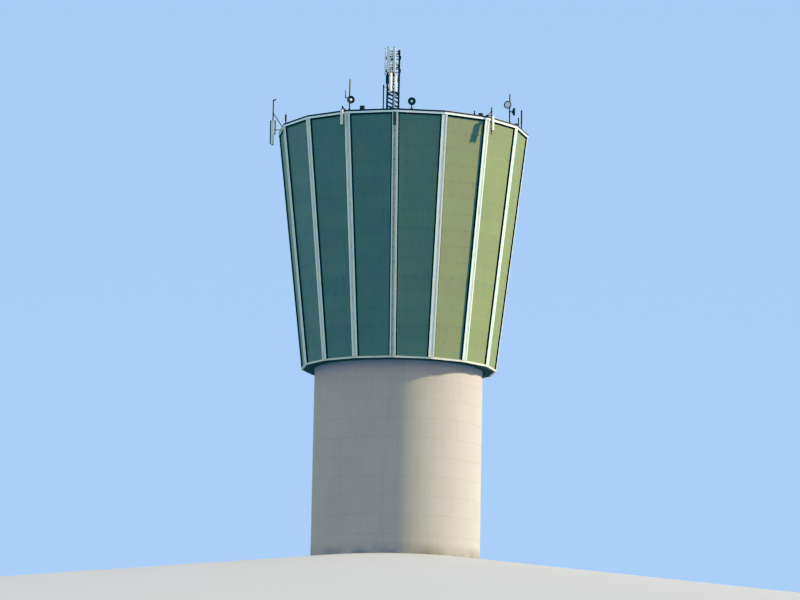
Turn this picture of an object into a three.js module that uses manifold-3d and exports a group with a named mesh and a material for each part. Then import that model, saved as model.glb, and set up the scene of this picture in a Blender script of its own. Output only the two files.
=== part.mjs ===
// A concrete water tower: a sixteen-sided tank, wider at the top, on a plain round shaft.
// Millimetres, +Z up. The origin is on the tower's axis at ground level. Azimuths are in degrees:
// 0 faces -Y, the side that the tower is looked at from, and 90 faces +X.
import * as THREE from 'three';
import { mergeVertices } from 'three/addons/utils/BufferGeometryUtils.js';
import Module from 'manifold-3d';

const wasm = await Module();
wasm.setup();

// Driving dimensions of the tower
const SIDES = 16; // flat bays of the tank, each between two ribs
const FIRST_RIB = -3.7; // azimuth of the rib that faces the viewer
const SOFFIT = 14000; // underside of the tank above the ground
const TANK_HEIGHT = 17760; // from the soffit to the top of the pale rim
const CLADDING_R_BOTTOM = 7120; // axis to a corner of the cladding at the soffit
const CLADDING_R_TOP = 9220; // and at the rim
const WALL = 350; // tank wall with its insulation and cladding
const SHAFT_R = 6200;
const SHAFT_WALL = 300;
const SEAT = 0.3; // clear gap between pieces that bear on each other

// Ribs, rim and drip edge
const RIB_WIDTH = 430;
const RIB_STANDS_OUT = 80; // beyond the corner of the cladding
const FASCIA_HEIGHT = 190;
const FASCIA_PAST_RIBS = 30;
const CAP_HEIGHT = 80;
const CAP_WIDTH = 420;
const DRIP_HEIGHT = 130;

// Floors and roof
const FLOOR_THICKNESS = 450;
const GROUND_SLAB = 150;
const FLANGE_SET_BACK = 60; // the tank floor's edge, inside the corner of the cladding
const ROOF_SET_BACK = 50;

// Service door at the foot, on the side away from the viewer
const DOOR_AZIMUTH = 180;
const DOOR_WIDTH = 1100;
const DOOR_HEIGHT = 2150;
const DOOR_FRAME = 70;
const DOOR_DEPTH = 140;
const DOOR_LEAF = 50;

// Lattice mast on the roof
const MAST_X = -820;
const MAST_BAYS = 6;
const MAST_BAY = 1050;
const MAST_HALF = 430; // axis to the middle of a leg, along X and along Y
const MAST_LEG = 140;
const MAST_BAR = 60;
const LACED_BAYS = 3; // the lowest bays have close lacing in place of a brace
const LACES = 10; // on each side, one above the other
const LACE_PITCH = 320;
const LACE_DROP = 430; // from one leg to the next
const LACE_BAR = 70;
const BACK_LACES_RISE = 130; // so they show just under the front ones from the ground

// Panel antennas and dishes
const PANEL_WIDTH = 210;
const PANEL_DEPTH = 110;
const DISH_R = 290;
const DISH_DEPTH = 190;
const POLE_R = 48;
const ROD_SIDES = 12;

const radians = THREE.MathUtils.degToRad;
const BAY_ANGLE = 360 / SIDES;
const RIM_TOP = SOFFIT + TANK_HEIGHT;
const FASCIA_BOTTOM = RIM_TOP - FASCIA_HEIGHT;
const CAP_TOP = RIM_TOP + CAP_HEIGHT;
const DRIP_TOP = SOFFIT + DRIP_HEIGHT;
const RIM_R = CLADDING_R_TOP + RIB_STANDS_OUT + FASCIA_PAST_RIBS;

const tower = new THREE.Group();

const paint = (colour, roughness, metalness = 0) =>
  new THREE.MeshStandardMaterial({ color: colour, roughness, metalness });

function add(name, geometry, material) {
  const mesh = new THREE.Mesh(geometry, material);
  mesh.name = name;
  tower.add(mesh);
  return mesh;
}

// Shapes

// The cladding's corner radius at a height, straight from the soffit to the rim.
function claddingRadius(z) {
  return THREE.MathUtils.mapLinear(z, SOFFIT, RIM_TOP, CLADDING_R_BOTTOM, CLADDING_R_TOP);
}

function around(radius, azimuth) {
  const a = radians(azimuth);
  return new THREE.Vector2(radius * Math.sin(a), -radius * Math.cos(a));
}

// A closed solid between two flat outlines with the same number of points, one above the other.
function loft(bottom, bottomZ, top, topZ) {
  const turned = THREE.ShapeUtils.isClockWise(bottom);
  const low = turned ? [...bottom].reverse() : bottom;
  const high = turned ? [...top].reverse() : top;
  const count = low.length;
  const positions = [];
  for (const point of low) positions.push(point.x, point.y, bottomZ);
  for (const point of high) positions.push(point.x, point.y, topZ);
  const faces = [];
  for (const [a, b, c] of THREE.ShapeUtils.triangulateShape(low, [])) {
    faces.push(a, c, b, a + count, b + count, c + count);
  }
  for (let i = 0; i < count; i += 1) {
    const next = (i + 1) % count;
    faces.push(i, next, next + count, i, next + count, i + count);
  }
  const geometry = new THREE.BufferGeometry();
  geometry.setAttribute('position', new THREE.Float32BufferAttribute(positions, 3));
  geometry.setIndex(faces);
  return geometry;
}

// A sixteen-sided ring or disc from a profile of [corner radius, height] pairs.
function turned(profile) {
  const points = profile.map(([radius, z]) => new THREE.Vector2(radius, z));
  const geometry = new THREE.LatheGeometry(points, SIDES, radians(FIRST_RIB));
  geometry.rotateX(Math.PI / 2);
  return geometry;
}

function solid(geometry) {
  const bare = geometry.clone();
  bare.deleteAttribute('normal');
  bare.deleteAttribute('uv');
  const merged = mergeVertices(bare, 0.01);
  return new wasm.Manifold(new wasm.Mesh({
    numProp: 3,
    vertProperties: new Float32Array(merged.attributes.position.array),
    triVerts: new Uint32Array(merged.index.array),
  }));
}

function skin(manifold) {
  const mesh = manifold.getMesh();
  const geometry = new THREE.BufferGeometry();
  geometry.setAttribute('position', new THREE.BufferAttribute(mesh.vertProperties, 3));
  geometry.setIndex(new THREE.BufferAttribute(mesh.triVerts, 1));
  return geometry;
}

function joined(geometries) {
  return skin(geometries.map(solid).reduce((whole, piece) => whole.add(piece)));
}

function block(width, depth, height, x = 0, y = 0, z = 0) {
  const geometry = new THREE.BoxGeometry(width, depth, height);
  geometry.translate(x, y, z);
  return geometry;
}

// A round or few-sided bar between two points given as [x, y, z].
function bar(from, to, radius, sides = ROD_SIDES) {
  const start = new THREE.Vector3(...from);
  const end = new THREE.Vector3(...to);
  const along = end.clone().sub(start);
  const geometry = new THREE.CylinderGeometry(radius, radius, along.length(), sides);
  const turn = new THREE.Quaternion().setFromUnitVectors(new THREE.Vector3(0, 1, 0), along.normalize());
  geometry.applyQuaternion(turn);
  geometry.translate(...start.add(end).multiplyScalar(0.5));
  return geometry;
}

// Ground slab and shaft

const concrete = paint(0xd8d2c4, 0.85);
const SHAFT_QUARTERS = ['front', 'right', 'back', 'left'];
const SHAFT_STEPS = 14; // flat steps in a quarter of the round wall
const shaftInner = SHAFT_R - SHAFT_WALL;

const slabR = shaftInner - 2 * SEAT;
const groundDisc = new THREE.CylinderGeometry(slabR, slabR, GROUND_SLAB, 4 * SHAFT_STEPS);
groundDisc.rotateX(Math.PI / 2);
groundDisc.translate(0, 0, GROUND_SLAB / 2);
add('ground_slab', groundDisc, concrete);

function shaftQuarter(middle) {
  const outline = [];
  for (const [radius, direction] of [[SHAFT_R, 1], [shaftInner, -1]]) {
    const edge = THREE.MathUtils.radToDeg(SEAT / 2 / radius);
    const half = 45 - edge;
    for (let i = 0; i <= SHAFT_STEPS; i += 1) {
      const share = (2 * i) / SHAFT_STEPS - 1;
      outline.push(around(radius, middle + direction * share * half));
    }
  }
  return loft(outline, 0, outline, SOFFIT - SEAT);
}

const doorWay = block(DOOR_WIDTH, 3 * SHAFT_WALL, DOOR_HEIGHT, 0, -SHAFT_R, GROUND_SLAB + DOOR_HEIGHT / 2);
doorWay.rotateZ(radians(DOOR_AZIMUTH));
SHAFT_QUARTERS.forEach((side, i) => {
  let wall = shaftQuarter(i * 90);
  if (i * 90 === DOOR_AZIMUTH) wall = skin(solid(wall).subtract(solid(doorWay)));
  add(`shaft_wall_${side}`, wall, concrete);
});

// Service door: a steel frame in the doorway with a closed leaf

function serviceDoor() {
  const wide = DOOR_WIDTH - 2 * SEAT;
  const high = DOOR_HEIGHT - 2 * SEAT;
  const frame = solid(block(wide, DOOR_DEPTH, high));
  const light = solid(block(wide - 2 * DOOR_FRAME, 2 * DOOR_DEPTH, high - 2 * DOOR_FRAME));
  const leaf = solid(block(wide - DOOR_FRAME, DOOR_LEAF, high - DOOR_FRAME));
  const door = skin(frame.subtract(light).add(leaf));
  door.translate(0, -(SHAFT_R - SHAFT_WALL / 2), GROUND_SLAB + DOOR_HEIGHT / 2);
  door.rotateZ(radians(DOOR_AZIMUTH));
  return door;
}
add('service_door', serviceDoor(), paint(0x4f5a58, 0.5, 0.2));

// Tank floor: its flange carries the walls, and its underside is the soffit

const flangeR = CLADDING_R_BOTTOM - FLANGE_SET_BACK;
const floorR = CLADDING_R_BOTTOM - WALL - 20;
add('tank_floor', turned([
  [0, SOFFIT],
  [flangeR, SOFFIT],
  [flangeR, DRIP_TOP],
  [floorR, DRIP_TOP],
  [floorR, SOFFIT + FLOOR_THICKNESS],
  [0, SOFFIT + FLOOR_THICKNESS],
]), paint(0x4d5d50, 0.8));

const dripR = CLADDING_R_BOTTOM + RIB_STANDS_OUT + 15;
const dripIn = flangeR + SEAT * 2;
add('drip_edge', turned([
  [dripIn, SOFFIT],
  [dripR, SOFFIT],
  [dripR, DRIP_TOP],
  [dripIn, DRIP_TOP],
  [dripIn, SOFFIT],
]), paint(0xe3dfca, 0.6));

// Tank walls: each segment spans two bays, with its ends mitred behind ribs

const green = paint(0x6f8a72, 0.55);
const wallBottom = DRIP_TOP + SEAT;
const wallTop = FASCIA_BOTTOM - SEAT;

function wallOutline(z, first) {
  const outer = claddingRadius(z);
  const inner = outer - WALL;
  const gap = (radius) => THREE.MathUtils.radToDeg(SEAT / 2 / radius);
  return [
    around(outer, first + gap(outer)),
    around(outer, first + BAY_ANGLE),
    around(outer, first + 2 * BAY_ANGLE - gap(outer)),
    around(inner, first + 2 * BAY_ANGLE - gap(inner)),
    around(inner, first + BAY_ANGLE),
    around(inner, first + gap(inner)),
  ];
}

for (let i = 0; i < SIDES / 2; i += 1) {
  const first = FIRST_RIB + 2 * i * BAY_ANGLE;
  const wall = loft(wallOutline(wallBottom, first), wallBottom, wallOutline(wallTop, first), wallTop);
  add(`tank_wall_${i + 1}`, wall, green);
}

// Ribs over the corners, their backs shaped to the two bays that meet there

const ribPaint = paint(0xdfe3cf, 0.5);

function ribOutline(z) {
  const corner = claddingRadius(z);
  const half = RIB_WIDTH / 2;
  const back = corner - half * Math.tan(radians(BAY_ANGLE / 2)) + SEAT;
  return [
    new THREE.Vector2(-half, -(corner + RIB_STANDS_OUT)),
    new THREE.Vector2(half, -(corner + RIB_STANDS_OUT)),
    new THREE.Vector2(half, -back),
    new THREE.Vector2(0, -(corner + SEAT)),
    new THREE.Vector2(-half, -back),
  ];
}

for (let i = 0; i < SIDES; i += 1) {
  const rib = loft(ribOutline(wallBottom), wallBottom, ribOutline(wallTop), wallTop);
  rib.rotateZ(radians(FIRST_RIB + i * BAY_ANGLE));
  add(`rib_${String(i + 1).padStart(2, '0')}`, rib, ribPaint);
}

// Feeder duct down the rib that faces the viewer, with a wider box at its head under the rim

const DUCT_WIDTH = 115;
const DUCT_DEPTH = 60;
const DUCT_OFFSET = -45;
const DUCT_BOX_WIDTH = 190;
const DUCT_BOX_DEPTH = 95;
const DUCT_BOX_HEIGHT = 950;

function onRibFace(width, depth, lowZ, highZ) {
  const outline = (z) => {
    const face = claddingRadius(z) + RIB_STANDS_OUT + SEAT;
    return [
      new THREE.Vector2(DUCT_OFFSET - width / 2, -(face + depth)),
      new THREE.Vector2(DUCT_OFFSET + width / 2, -(face + depth)),
      new THREE.Vector2(DUCT_OFFSET + width / 2, -face),
      new THREE.Vector2(DUCT_OFFSET - width / 2, -face),
    ];
  };
  return loft(outline(lowZ), lowZ, outline(highZ), highZ);
}
const boxFoot = wallTop - DUCT_BOX_HEIGHT;
const duct = joined([
  onRibFace(DUCT_WIDTH, DUCT_DEPTH, wallBottom, boxFoot + 10),
  onRibFace(DUCT_BOX_WIDTH, DUCT_BOX_DEPTH, boxFoot, wallTop),
]);
duct.rotateZ(radians(FIRST_RIB));
add('feeder_duct', duct, paint(0x8f9890, 0.5));

// Roof slab, the pale rim around it and the dark cap on the rim

const roofR = CLADDING_R_TOP - ROOF_SET_BACK;
add('roof_slab', turned([
  [0, FASCIA_BOTTOM],
  [roofR, FASCIA_BOTTOM],
  [roofR, RIM_TOP],
  [0, RIM_TOP],
]), paint(0x55585a, 0.9));

const fasciaIn = roofR + 2 * SEAT;
add('rim_fascia', turned([
  [fasciaIn, FASCIA_BOTTOM],
  [RIM_R, FASCIA_BOTTOM],
  [RIM_R, RIM_TOP],
  [fasciaIn, RIM_TOP],
  [fasciaIn, FASCIA_BOTTOM],
]), paint(0xe9ebdd, 0.5));

const capOut = RIM_R - 20;
add('rim_cap', turned([
  [capOut - CAP_WIDTH, RIM_TOP + SEAT],
  [capOut, RIM_TOP + SEAT],
  [capOut, CAP_TOP],
  [capOut - CAP_WIDTH, CAP_TOP],
  [capOut - CAP_WIDTH, RIM_TOP + SEAT],
]), paint(0x2f3a35, 0.5, 0.3));

// Lattice mast

const galvanised = paint(0x4a4f52, 0.5, 0.6);
const mastFoot = RIM_TOP + SEAT;
const mastTop = mastFoot + MAST_BAYS * MAST_BAY;

const LEG_PLATE = 290;

function mastFrame() {
  const corners = [[-1, -1], [1, -1], [1, 1], [-1, 1]].map(([x, y]) => [x * MAST_HALF, y * MAST_HALF]);
  const pieces = [];
  for (const [x, y] of corners) {
    pieces.push(block(MAST_LEG, MAST_LEG, mastTop - mastFoot, x, y, (mastFoot + mastTop) / 2));
    pieces.push(block(LEG_PLATE, LEG_PLATE, 20, x, y, mastFoot + 10));
  }
  corners.forEach(([x, y], side) => {
    const [nextX, nextY] = corners[(side + 1) % corners.length];
    for (let bay = 0; bay < MAST_BAYS; bay += 1) {
      const low = mastFoot + bay * MAST_BAY + MAST_BAR;
      const ring = mastFoot + (bay + 1) * MAST_BAY - MAST_BAR / 2;
      if (bay >= LACED_BAYS) pieces.push(bar([x, y, low], [nextX, nextY, ring], MAST_BAR / 2, 4));
      pieces.push(bar([x, y, ring], [nextX, nextY, ring], MAST_BAR / 2, 4));
    }
  });
  for (let i = 0; i < LACES; i += 1) {
    const low = mastFoot + LACE_BAR + i * LACE_PITCH;
    for (const end of [-MAST_HALF, MAST_HALF]) {
      const z = end > 0 ? low + BACK_LACES_RISE : low;
      pieces.push(bar([-MAST_HALF, end, z + LACE_DROP], [MAST_HALF, end, z], LACE_BAR / 2, 4));
      pieces.push(bar([end, -MAST_HALF, low + LACE_DROP], [end, MAST_HALF, low], LACE_BAR / 2, 4));
    }
  }
  // An upright on the front, between the two panel antennas
  const uprightTop = 5 * MAST_BAY;
  const uprightFoot = LACED_BAYS * MAST_BAY - MAST_BAR;
  const uprightMiddle = mastFoot + (uprightTop + uprightFoot) / 2;
  pieces.push(block(LACE_BAR, LACE_BAR, uprightTop - uprightFoot, 0, -MAST_HALF, uprightMiddle));
  return joined(pieces);
}

const mast = add('mast', mastFrame(), galvanised);
mast.position.x = MAST_X;

// Two panel antennas on the mast's front, each turned a little to the right

const white = paint(0xe6e8e4, 0.4);
const MAST_PANEL_FOOT = 3100; // above the roof
const mastFace = MAST_HALF + MAST_LEG / 2;
const MAST_PANELS = [
  { name: 'mast_panel_left', x: -170, azimuth: 42, length: 1430, standsOff: 340 },
  { name: 'mast_panel_right', x: 190, azimuth: 30, length: 1300, standsOff: 130 },
];

// A panel with two brackets behind it, whose rails lie on the face of the nearer leg.
function mastPanel({ x, azimuth, length, standsOff }) {
  const foot = mastFoot + MAST_PANEL_FOOT;
  const panelY = -(mastFace + standsOff + PANEL_DEPTH / 2);
  const panel = block(PANEL_WIDTH, PANEL_DEPTH, length);
  panel.rotateZ(radians(azimuth));
  panel.translate(x, panelY, foot + length / 2);
  const pieces = [panel];
  const reach = mastFace - Math.abs(x) + 30;
  const railX = x + Math.sign(x) * (reach / 2 - 30);
  const armDepth = -(mastFace + SEAT) - panelY;
  for (const z of [foot + 350, foot + length - 70]) {
    pieces.push(block(60, armDepth, 60, x, panelY + armDepth / 2, z));
    pieces.push(block(reach, 60, 60, railX, -(mastFace + SEAT + 30), z));
  }
  return joined(pieces);
}
for (const row of MAST_PANELS) {
  const panel = add(row.name, mastPanel(row), white);
  panel.position.x = MAST_X;
}

// Radio unit on the face of the left front leg
const MAST_BOX = { width: 240, depth: 130, height: 690, foot: 3725 };
const mastBox = add('mast_box', block(
  MAST_BOX.width, MAST_BOX.depth, MAST_BOX.height,
  MAST_BOX.width / 2 - mastFace - 60,
  -(mastFace + SEAT + MAST_BOX.depth / 2),
  mastFoot + MAST_BOX.foot + MAST_BOX.height / 2,
), galvanised);
mastBox.position.x = MAST_X;

const HEAD_FOOT = 4560; // underside of the head's panels above the roof
const HEAD_PANEL_LENGTH = 2000;
const HEAD_FRONT_LEFT = -390;
const HEAD_FRONT_MIDDLE = 70;
const HEAD_PIPE = 60;

// Two square frames of pipe around the legs, with panels on their front, back and left sides.
function mastHead() {
  const inner = mastFace + SEAT;
  const outer = inner + HEAD_PIPE;
  let whole = null;
  const fuse = (piece) => {
    whole = whole ? whole.add(piece) : piece;
  };
  for (const rise of [300, 1300]) {
    const z = mastFoot + HEAD_FOOT + rise;
    const square = solid(block(2 * outer, 2 * outer, HEAD_PIPE, 0, 0, z));
    fuse(square.subtract(solid(block(2 * inner, 2 * inner, 2 * HEAD_PIPE, 0, 0, z))));
  }
  const across = outer - 5 + PANEL_DEPTH / 2;
  const middle = mastFoot + HEAD_FOOT + HEAD_PANEL_LENGTH / 2;
  const flat = [PANEL_WIDTH, PANEL_DEPTH, HEAD_PANEL_LENGTH];
  fuse(solid(block(...flat, HEAD_FRONT_LEFT, -across, middle)));
  fuse(solid(block(...flat, HEAD_FRONT_MIDDLE, -across, middle)));
  fuse(solid(block(...flat, 0, across, middle)));
  fuse(solid(block(PANEL_DEPTH, PANEL_WIDTH, HEAD_PANEL_LENGTH, -across, 0, middle)));
  return skin(whole);
}
const head = add('mast_head', mastHead(), white);
head.position.x = MAST_X;

// Pole beside the mast, tied to its left front leg by two arms
const SIDE_POLE_X = -705;
const SIDE_POLE_HEIGHT = 3720;

function sidePole() {
  const tie = -mastFace - SEAT - SIDE_POLE_X;
  const pieces = [
    block(220, 220, 20, SIDE_POLE_X, -MAST_HALF, mastFoot + 10),
    bar([SIDE_POLE_X, -MAST_HALF, mastFoot], [SIDE_POLE_X, -MAST_HALF, mastFoot + SIDE_POLE_HEIGHT], POLE_R),
  ];
  for (const z of [1200, SIDE_POLE_HEIGHT - 200]) {
    pieces.push(block(tie, 50, 50, SIDE_POLE_X + tie / 2, -MAST_HALF, mastFoot + z));
  }
  return joined(pieces);
}
const poleByMast = add('mast_side_pole', sidePole(), galvanised);
poleByMast.position.x = MAST_X;

// Covered cable trays: up the middle of the mast's front, and over the roof on sleepers to the rim

const TRAY_WIDTH = 120;
const TRAY_DEPTH = 70;
const TRAY_HEIGHT = 3100;
const TRAY_X = 90; // from the mast's middle
const mastTray = block(
  TRAY_WIDTH, TRAY_DEPTH, TRAY_HEIGHT,
  TRAY_X, -(MAST_HALF + LACE_BAR / 2 + SEAT + TRAY_DEPTH / 2), mastFoot + TRAY_HEIGHT / 2,
);
const tray = add('mast_tray', mastTray, galvanised);
tray.position.x = MAST_X;

const ROOF_TRAY_WIDTH = 300;
const ROOF_TRAY_DEPTH = 90;
const SLEEPER = 100;
const SLEEPERS = 6;
const ROOF_TRAY_GAP = 220; // between the legs' middle line and the tray's end

function roofTray() {
  const start = -(MAST_HALF + ROOF_TRAY_GAP);
  const end = -(capOut - CAP_WIDTH) * Math.cos(radians(BAY_ANGLE / 2)) + 60;
  const trayZ = mastFoot + SLEEPER + ROOF_TRAY_DEPTH / 2 - 5;
  const pieces = [block(ROOF_TRAY_WIDTH, start - end, ROOF_TRAY_DEPTH, MAST_X, (start + end) / 2, trayZ)];
  for (let i = 0; i < SLEEPERS; i += 1) {
    const y = THREE.MathUtils.mapLinear(i, 0, SLEEPERS - 1, start - 150, end + 150);
    pieces.push(block(1.7 * ROOF_TRAY_WIDTH, SLEEPER, SLEEPER, MAST_X, y, mastFoot + SLEEPER / 2));
  }
  return joined(pieces);
}
add('roof_tray', roofTray(), galvanised);

// Equipment on the rim. Each piece is drawn as if it stood at azimuth 0, with -Y outwards and its
// foot on the cap, and is then turned to its place.

const seatZ = CAP_TOP + SEAT;
const capMiddle = capOut - CAP_WIDTH / 2;

// The cap is a polygon, so between its corners it lies nearer to the axis.
function onCap(azimuth) {
  const turn = (azimuth - FIRST_RIB) / BAY_ANGLE;
  const fromMiddle = radians((turn - Math.floor(turn) - 0.5) * BAY_ANGLE);
  return (capMiddle * Math.cos(radians(BAY_ANGLE / 2))) / Math.cos(fromMiddle);
}

const footPlate = (y) => block(220, 220, 20, 0, y, seatZ + 10);

function pole(y, height, radius = POLE_R) {
  return bar([0, y, seatZ], [0, y, seatZ + height], radius);
}

// A shrouded dish on a short arm from its pole. Its face looks along the azimuth given.
function dish(z, azimuth, reach) {
  const drum = bar([0, -reach, 0], [0, -reach - DISH_DEPTH, 0], DISH_R, 24);
  const arm = bar([0, 0, 0], [0, -reach - 10, 0], 35, 8);
  const pieces = [drum, arm];
  for (const piece of pieces) {
    piece.rotateZ(radians(azimuth));
    piece.translate(0, 0, z);
  }
  return pieces;
}

function onRim(name, azimuth, pieces, material) {
  const geometry = joined(pieces);
  geometry.rotateZ(radians(azimuth));
  return add(name, geometry, material);
}

// Pole with a dish, a short rod antenna and a hung panel beside the rib left of the middle
const LEFT_POLE = -25.6;
const LEFT_POLE_HEIGHT = 2300;
const HUNG_PANEL_LENGTH = 1150;

function dishPole(azimuth, height, dishes, rod) {
  const y = -onCap(azimuth);
  const pieces = [footPlate(y), pole(y, height)];
  for (const { z, turn, reach } of dishes) {
    for (const piece of dish(seatZ + z, turn, reach)) {
      piece.translate(0, y, 0);
      pieces.push(piece);
    }
  }
  if (rod) {
    pieces.push(bar([0, y, seatZ + rod.low], [rod.x, y, seatZ + rod.low], 25, 8));
    pieces.push(bar([rod.x, y, seatZ + rod.low - 60], [rod.x, y, seatZ + rod.high], 40, 10));
  }
  return pieces;
}

onRim('left_dish_pole', LEFT_POLE, dishPole(
  LEFT_POLE, LEFT_POLE_HEIGHT,
  [{ z: 730, turn: 47, reach: 110 }],
  { x: -340, low: 960, high: 1530 },
), galvanised);

// A white panel hung outside the rim on a pipe, with an arm and a strut back to a foot on the cap.
// Two brackets hold it, with its back standsOff from the face of the pipe.
function hungPanel(azimuth, reach, pipeTop, strutTop, pipeFoot, standsOff) {
  const y = -onCap(azimuth);
  const out = -(RIM_R + reach);
  const panelY = out - POLE_R - PANEL_DEPTH / 2 - standsOff;
  const bracket = POLE_R + standsOff + 10;
  return [
    block(80, bracket, 60, 0, out - bracket / 2, seatZ - 190),
    block(80, bracket, 60, 0, out - bracket / 2, seatZ - 930),
    footPlate(y),
    block(130, 130, 130, 0, y, seatZ + 65),
    block(60, Math.abs(out - y), 60, 0, (out + y) / 2, seatZ + 60),
    bar([0, y, seatZ + 90], [0, out, seatZ + strutTop], 30, 8),
    bar([0, out, seatZ + pipeFoot], [0, out, seatZ + pipeTop], POLE_R),
    block(PANEL_WIDTH, PANEL_DEPTH, HUNG_PANEL_LENGTH, 0, panelY, seatZ + 15 - HUNG_PANEL_LENGTH / 2),
  ];
}
onRim('left_hung_panel', -28.0, hungPanel(-28.0, 90, 290, 200, -1000, -10), white);
onRim('right_hung_panel', 41.8, hungPanel(41.8, 250, 640, 330, -1370, 60), white);

// Dish right of the mast, on a short post
onRim('centre_dish', 3.7, dishPole(3.7, 680, [{ z: 540, turn: -4, reach: 110 }], null), galvanised);

// Pole with two dishes near the right-hand end of the rim
onRim('twin_dish_pole', 59.8, dishPole(59.8, 2190, [
  { z: 1325, turn: -85, reach: 240 },
  { z: 885, turn: 30, reach: 200 },
], null), galvanised);

// Slender rods
onRim('right_rod_short', 71.6, dishPole(71.6, 800, [], null), galvanised);
onRim('right_stub', 35.0, dishPole(35.0, 330, [], null), galvanised);

// Its upper part is a thicker tube antenna
const TALL_ROD = 78.0;
const tubeAntenna = bar([0, -onCap(TALL_ROD), seatZ + 520], [0, -onCap(TALL_ROD), seatZ + 1570], 66);
onRim('right_rod_tall', TALL_ROD, [...dishPole(TALL_ROD, 600, [], null), tubeAntenna], galvanised);
onRim('left_rod', -75.0, dishPole(-75.0, 850, [], null), galvanised);

// Pole at the left-hand end, outside the rim, with a long panel below it between two pipes
const END_AZIMUTH = -90.5;
const END_POLE_R = 9730; // axis to the pole
const END_POLE_TOP = 2380;
const END_POLE_FOOT = 900; // below the cap
const END_PANEL_TOP = 860;
const END_PANEL_LENGTH = 1910;
const END_PIPE_SPREAD = 170; // from the pole to the pipe on either side

function endPole() {
  const y = -onCap(END_AZIMUTH);
  const out = -END_POLE_R;
  const panelMiddle = seatZ + END_PANEL_TOP - END_PANEL_LENGTH / 2;
  const panel = block(PANEL_WIDTH, PANEL_DEPTH, END_PANEL_LENGTH, 0, 0, 0);
  panel.rotateZ(Math.PI / 2);
  panel.translate(POLE_R + PANEL_DEPTH / 2 - 10, out, panelMiddle);
  return [
    footPlate(y),
    pole(y, 400),
    bar([0, out, seatZ - END_POLE_FOOT], [0, out, seatZ + END_POLE_TOP], POLE_R),
    bar([0, y, seatZ + 120], [0, out, seatZ + 120], 35, 8),
    bar([0, y, seatZ + 360], [0, out, seatZ + 1390], 35, 8),
    bar([0, out - END_PIPE_SPREAD, seatZ - 950], [0, out - END_PIPE_SPREAD, seatZ + END_PANEL_TOP], 45),
    bar([0, out + END_PIPE_SPREAD, seatZ - 260], [0, out + END_PIPE_SPREAD, seatZ + END_PANEL_TOP], 45),
    block(50, 2 * END_PIPE_SPREAD, 50, 0, out, seatZ + END_PANEL_TOP - 100),
    block(50, 2 * END_PIPE_SPREAD, 50, 0, out, seatZ - 160),
    bar([-130, out, seatZ + END_POLE_TOP - 20], [130, out, seatZ + END_POLE_TOP + 60], 55, 10),
    panel,
  ];
}
onRim('end_pole', END_AZIMUTH, endPole(), galvanised);

// Small cabinets on the rim

function cabinet(name, azimuth, width, depth, height) {
  const y = -onCap(azimuth);
  onRim(name, azimuth, [block(width, depth, height, 0, y, seatZ + height / 2)], galvanised);
}
cabinet('left_cabinet', -19.5, 330, 260, 290);
cabinet('right_cabinet', 38.4, 280, 240, 190);
cabinet('right_box', 67.2, 240, 200, 210);

// Roof hatch behind the mast
const HATCH = 900;
const HATCH_HEIGHT = 320;
const HATCH_Y = 3600;
add('roof_hatch', joined([
  block(HATCH, HATCH, HATCH_HEIGHT, 0, HATCH_Y, mastFoot + HATCH_HEIGHT / 2),
  block(HATCH + 90, HATCH + 90, 70, 0, HATCH_Y, mastFoot + HATCH_HEIGHT + 20),
]), galvanised);

export default tower;
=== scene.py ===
"""The looks of a concrete water tower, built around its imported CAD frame. Metres, +Z up."""
import itertools
import math

import bmesh
import bpy
from mathutils import Matrix, Vector, noise


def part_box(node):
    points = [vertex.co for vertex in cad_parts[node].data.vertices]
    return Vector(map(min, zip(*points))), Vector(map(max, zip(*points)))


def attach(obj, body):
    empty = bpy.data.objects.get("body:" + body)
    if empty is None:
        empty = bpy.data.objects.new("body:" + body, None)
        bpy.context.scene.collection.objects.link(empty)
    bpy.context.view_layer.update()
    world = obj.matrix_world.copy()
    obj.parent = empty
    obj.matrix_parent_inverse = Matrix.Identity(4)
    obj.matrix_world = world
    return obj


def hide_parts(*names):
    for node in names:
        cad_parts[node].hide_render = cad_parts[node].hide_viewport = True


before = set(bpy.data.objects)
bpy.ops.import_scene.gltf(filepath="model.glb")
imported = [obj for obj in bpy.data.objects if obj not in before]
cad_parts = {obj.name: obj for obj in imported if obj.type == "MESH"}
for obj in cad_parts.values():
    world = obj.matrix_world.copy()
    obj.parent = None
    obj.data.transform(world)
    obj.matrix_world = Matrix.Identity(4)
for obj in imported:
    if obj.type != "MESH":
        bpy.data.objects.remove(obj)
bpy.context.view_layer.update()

# Shaft wall: cast in place in lifts of 1.4 m between smooth steel shutters, then limewashed. The
# lifts meet in shallow grooves. It is drawn in quarters, and the back one has the doorway.
SEAT = 0.0003  # clear gap between pieces that bear on each other


def compass(radius, azimuth, z=0.0):
    """A point at an azimuth, counted from -Y, the side that the camera looks at, towards +X."""
    return Vector((radius * math.sin(azimuth), -radius * math.cos(azimuth), z))


def levels(solid):
    """The foot and the top of a solid."""
    low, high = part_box(solid)
    return low.z, high.z


def reach_of(solid, z):
    """How far the corners of a solid lie from the axis at a level."""
    points = [vertex.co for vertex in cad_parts[solid].data.vertices]
    return max(point.xy.length for point in points if abs(point.z - z) < 0.01)


def steps(start, end, count):
    """Even steps from start to end, both among them."""
    return [start + (end - start) * k / count for k in range(count + 1)]


SHAFT_R = reach_of("shaft_wall_front", 0.0)
SHAFT_WALL = 0.3
SHAFT_TOP = levels("shaft_wall_front")[1]
SLAB_TOP = levels("ground_slab")[1]
LIFT = 1.4
GROOVE = 0.008
SHUTTERS = 32  # round the shaft
SAND = 70.0  # grains a metre: coarser than real sand, so that it shows
DOOR_HALF = 0.55
DOOR_TOP = levels("service_door")[1] + SEAT


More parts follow.
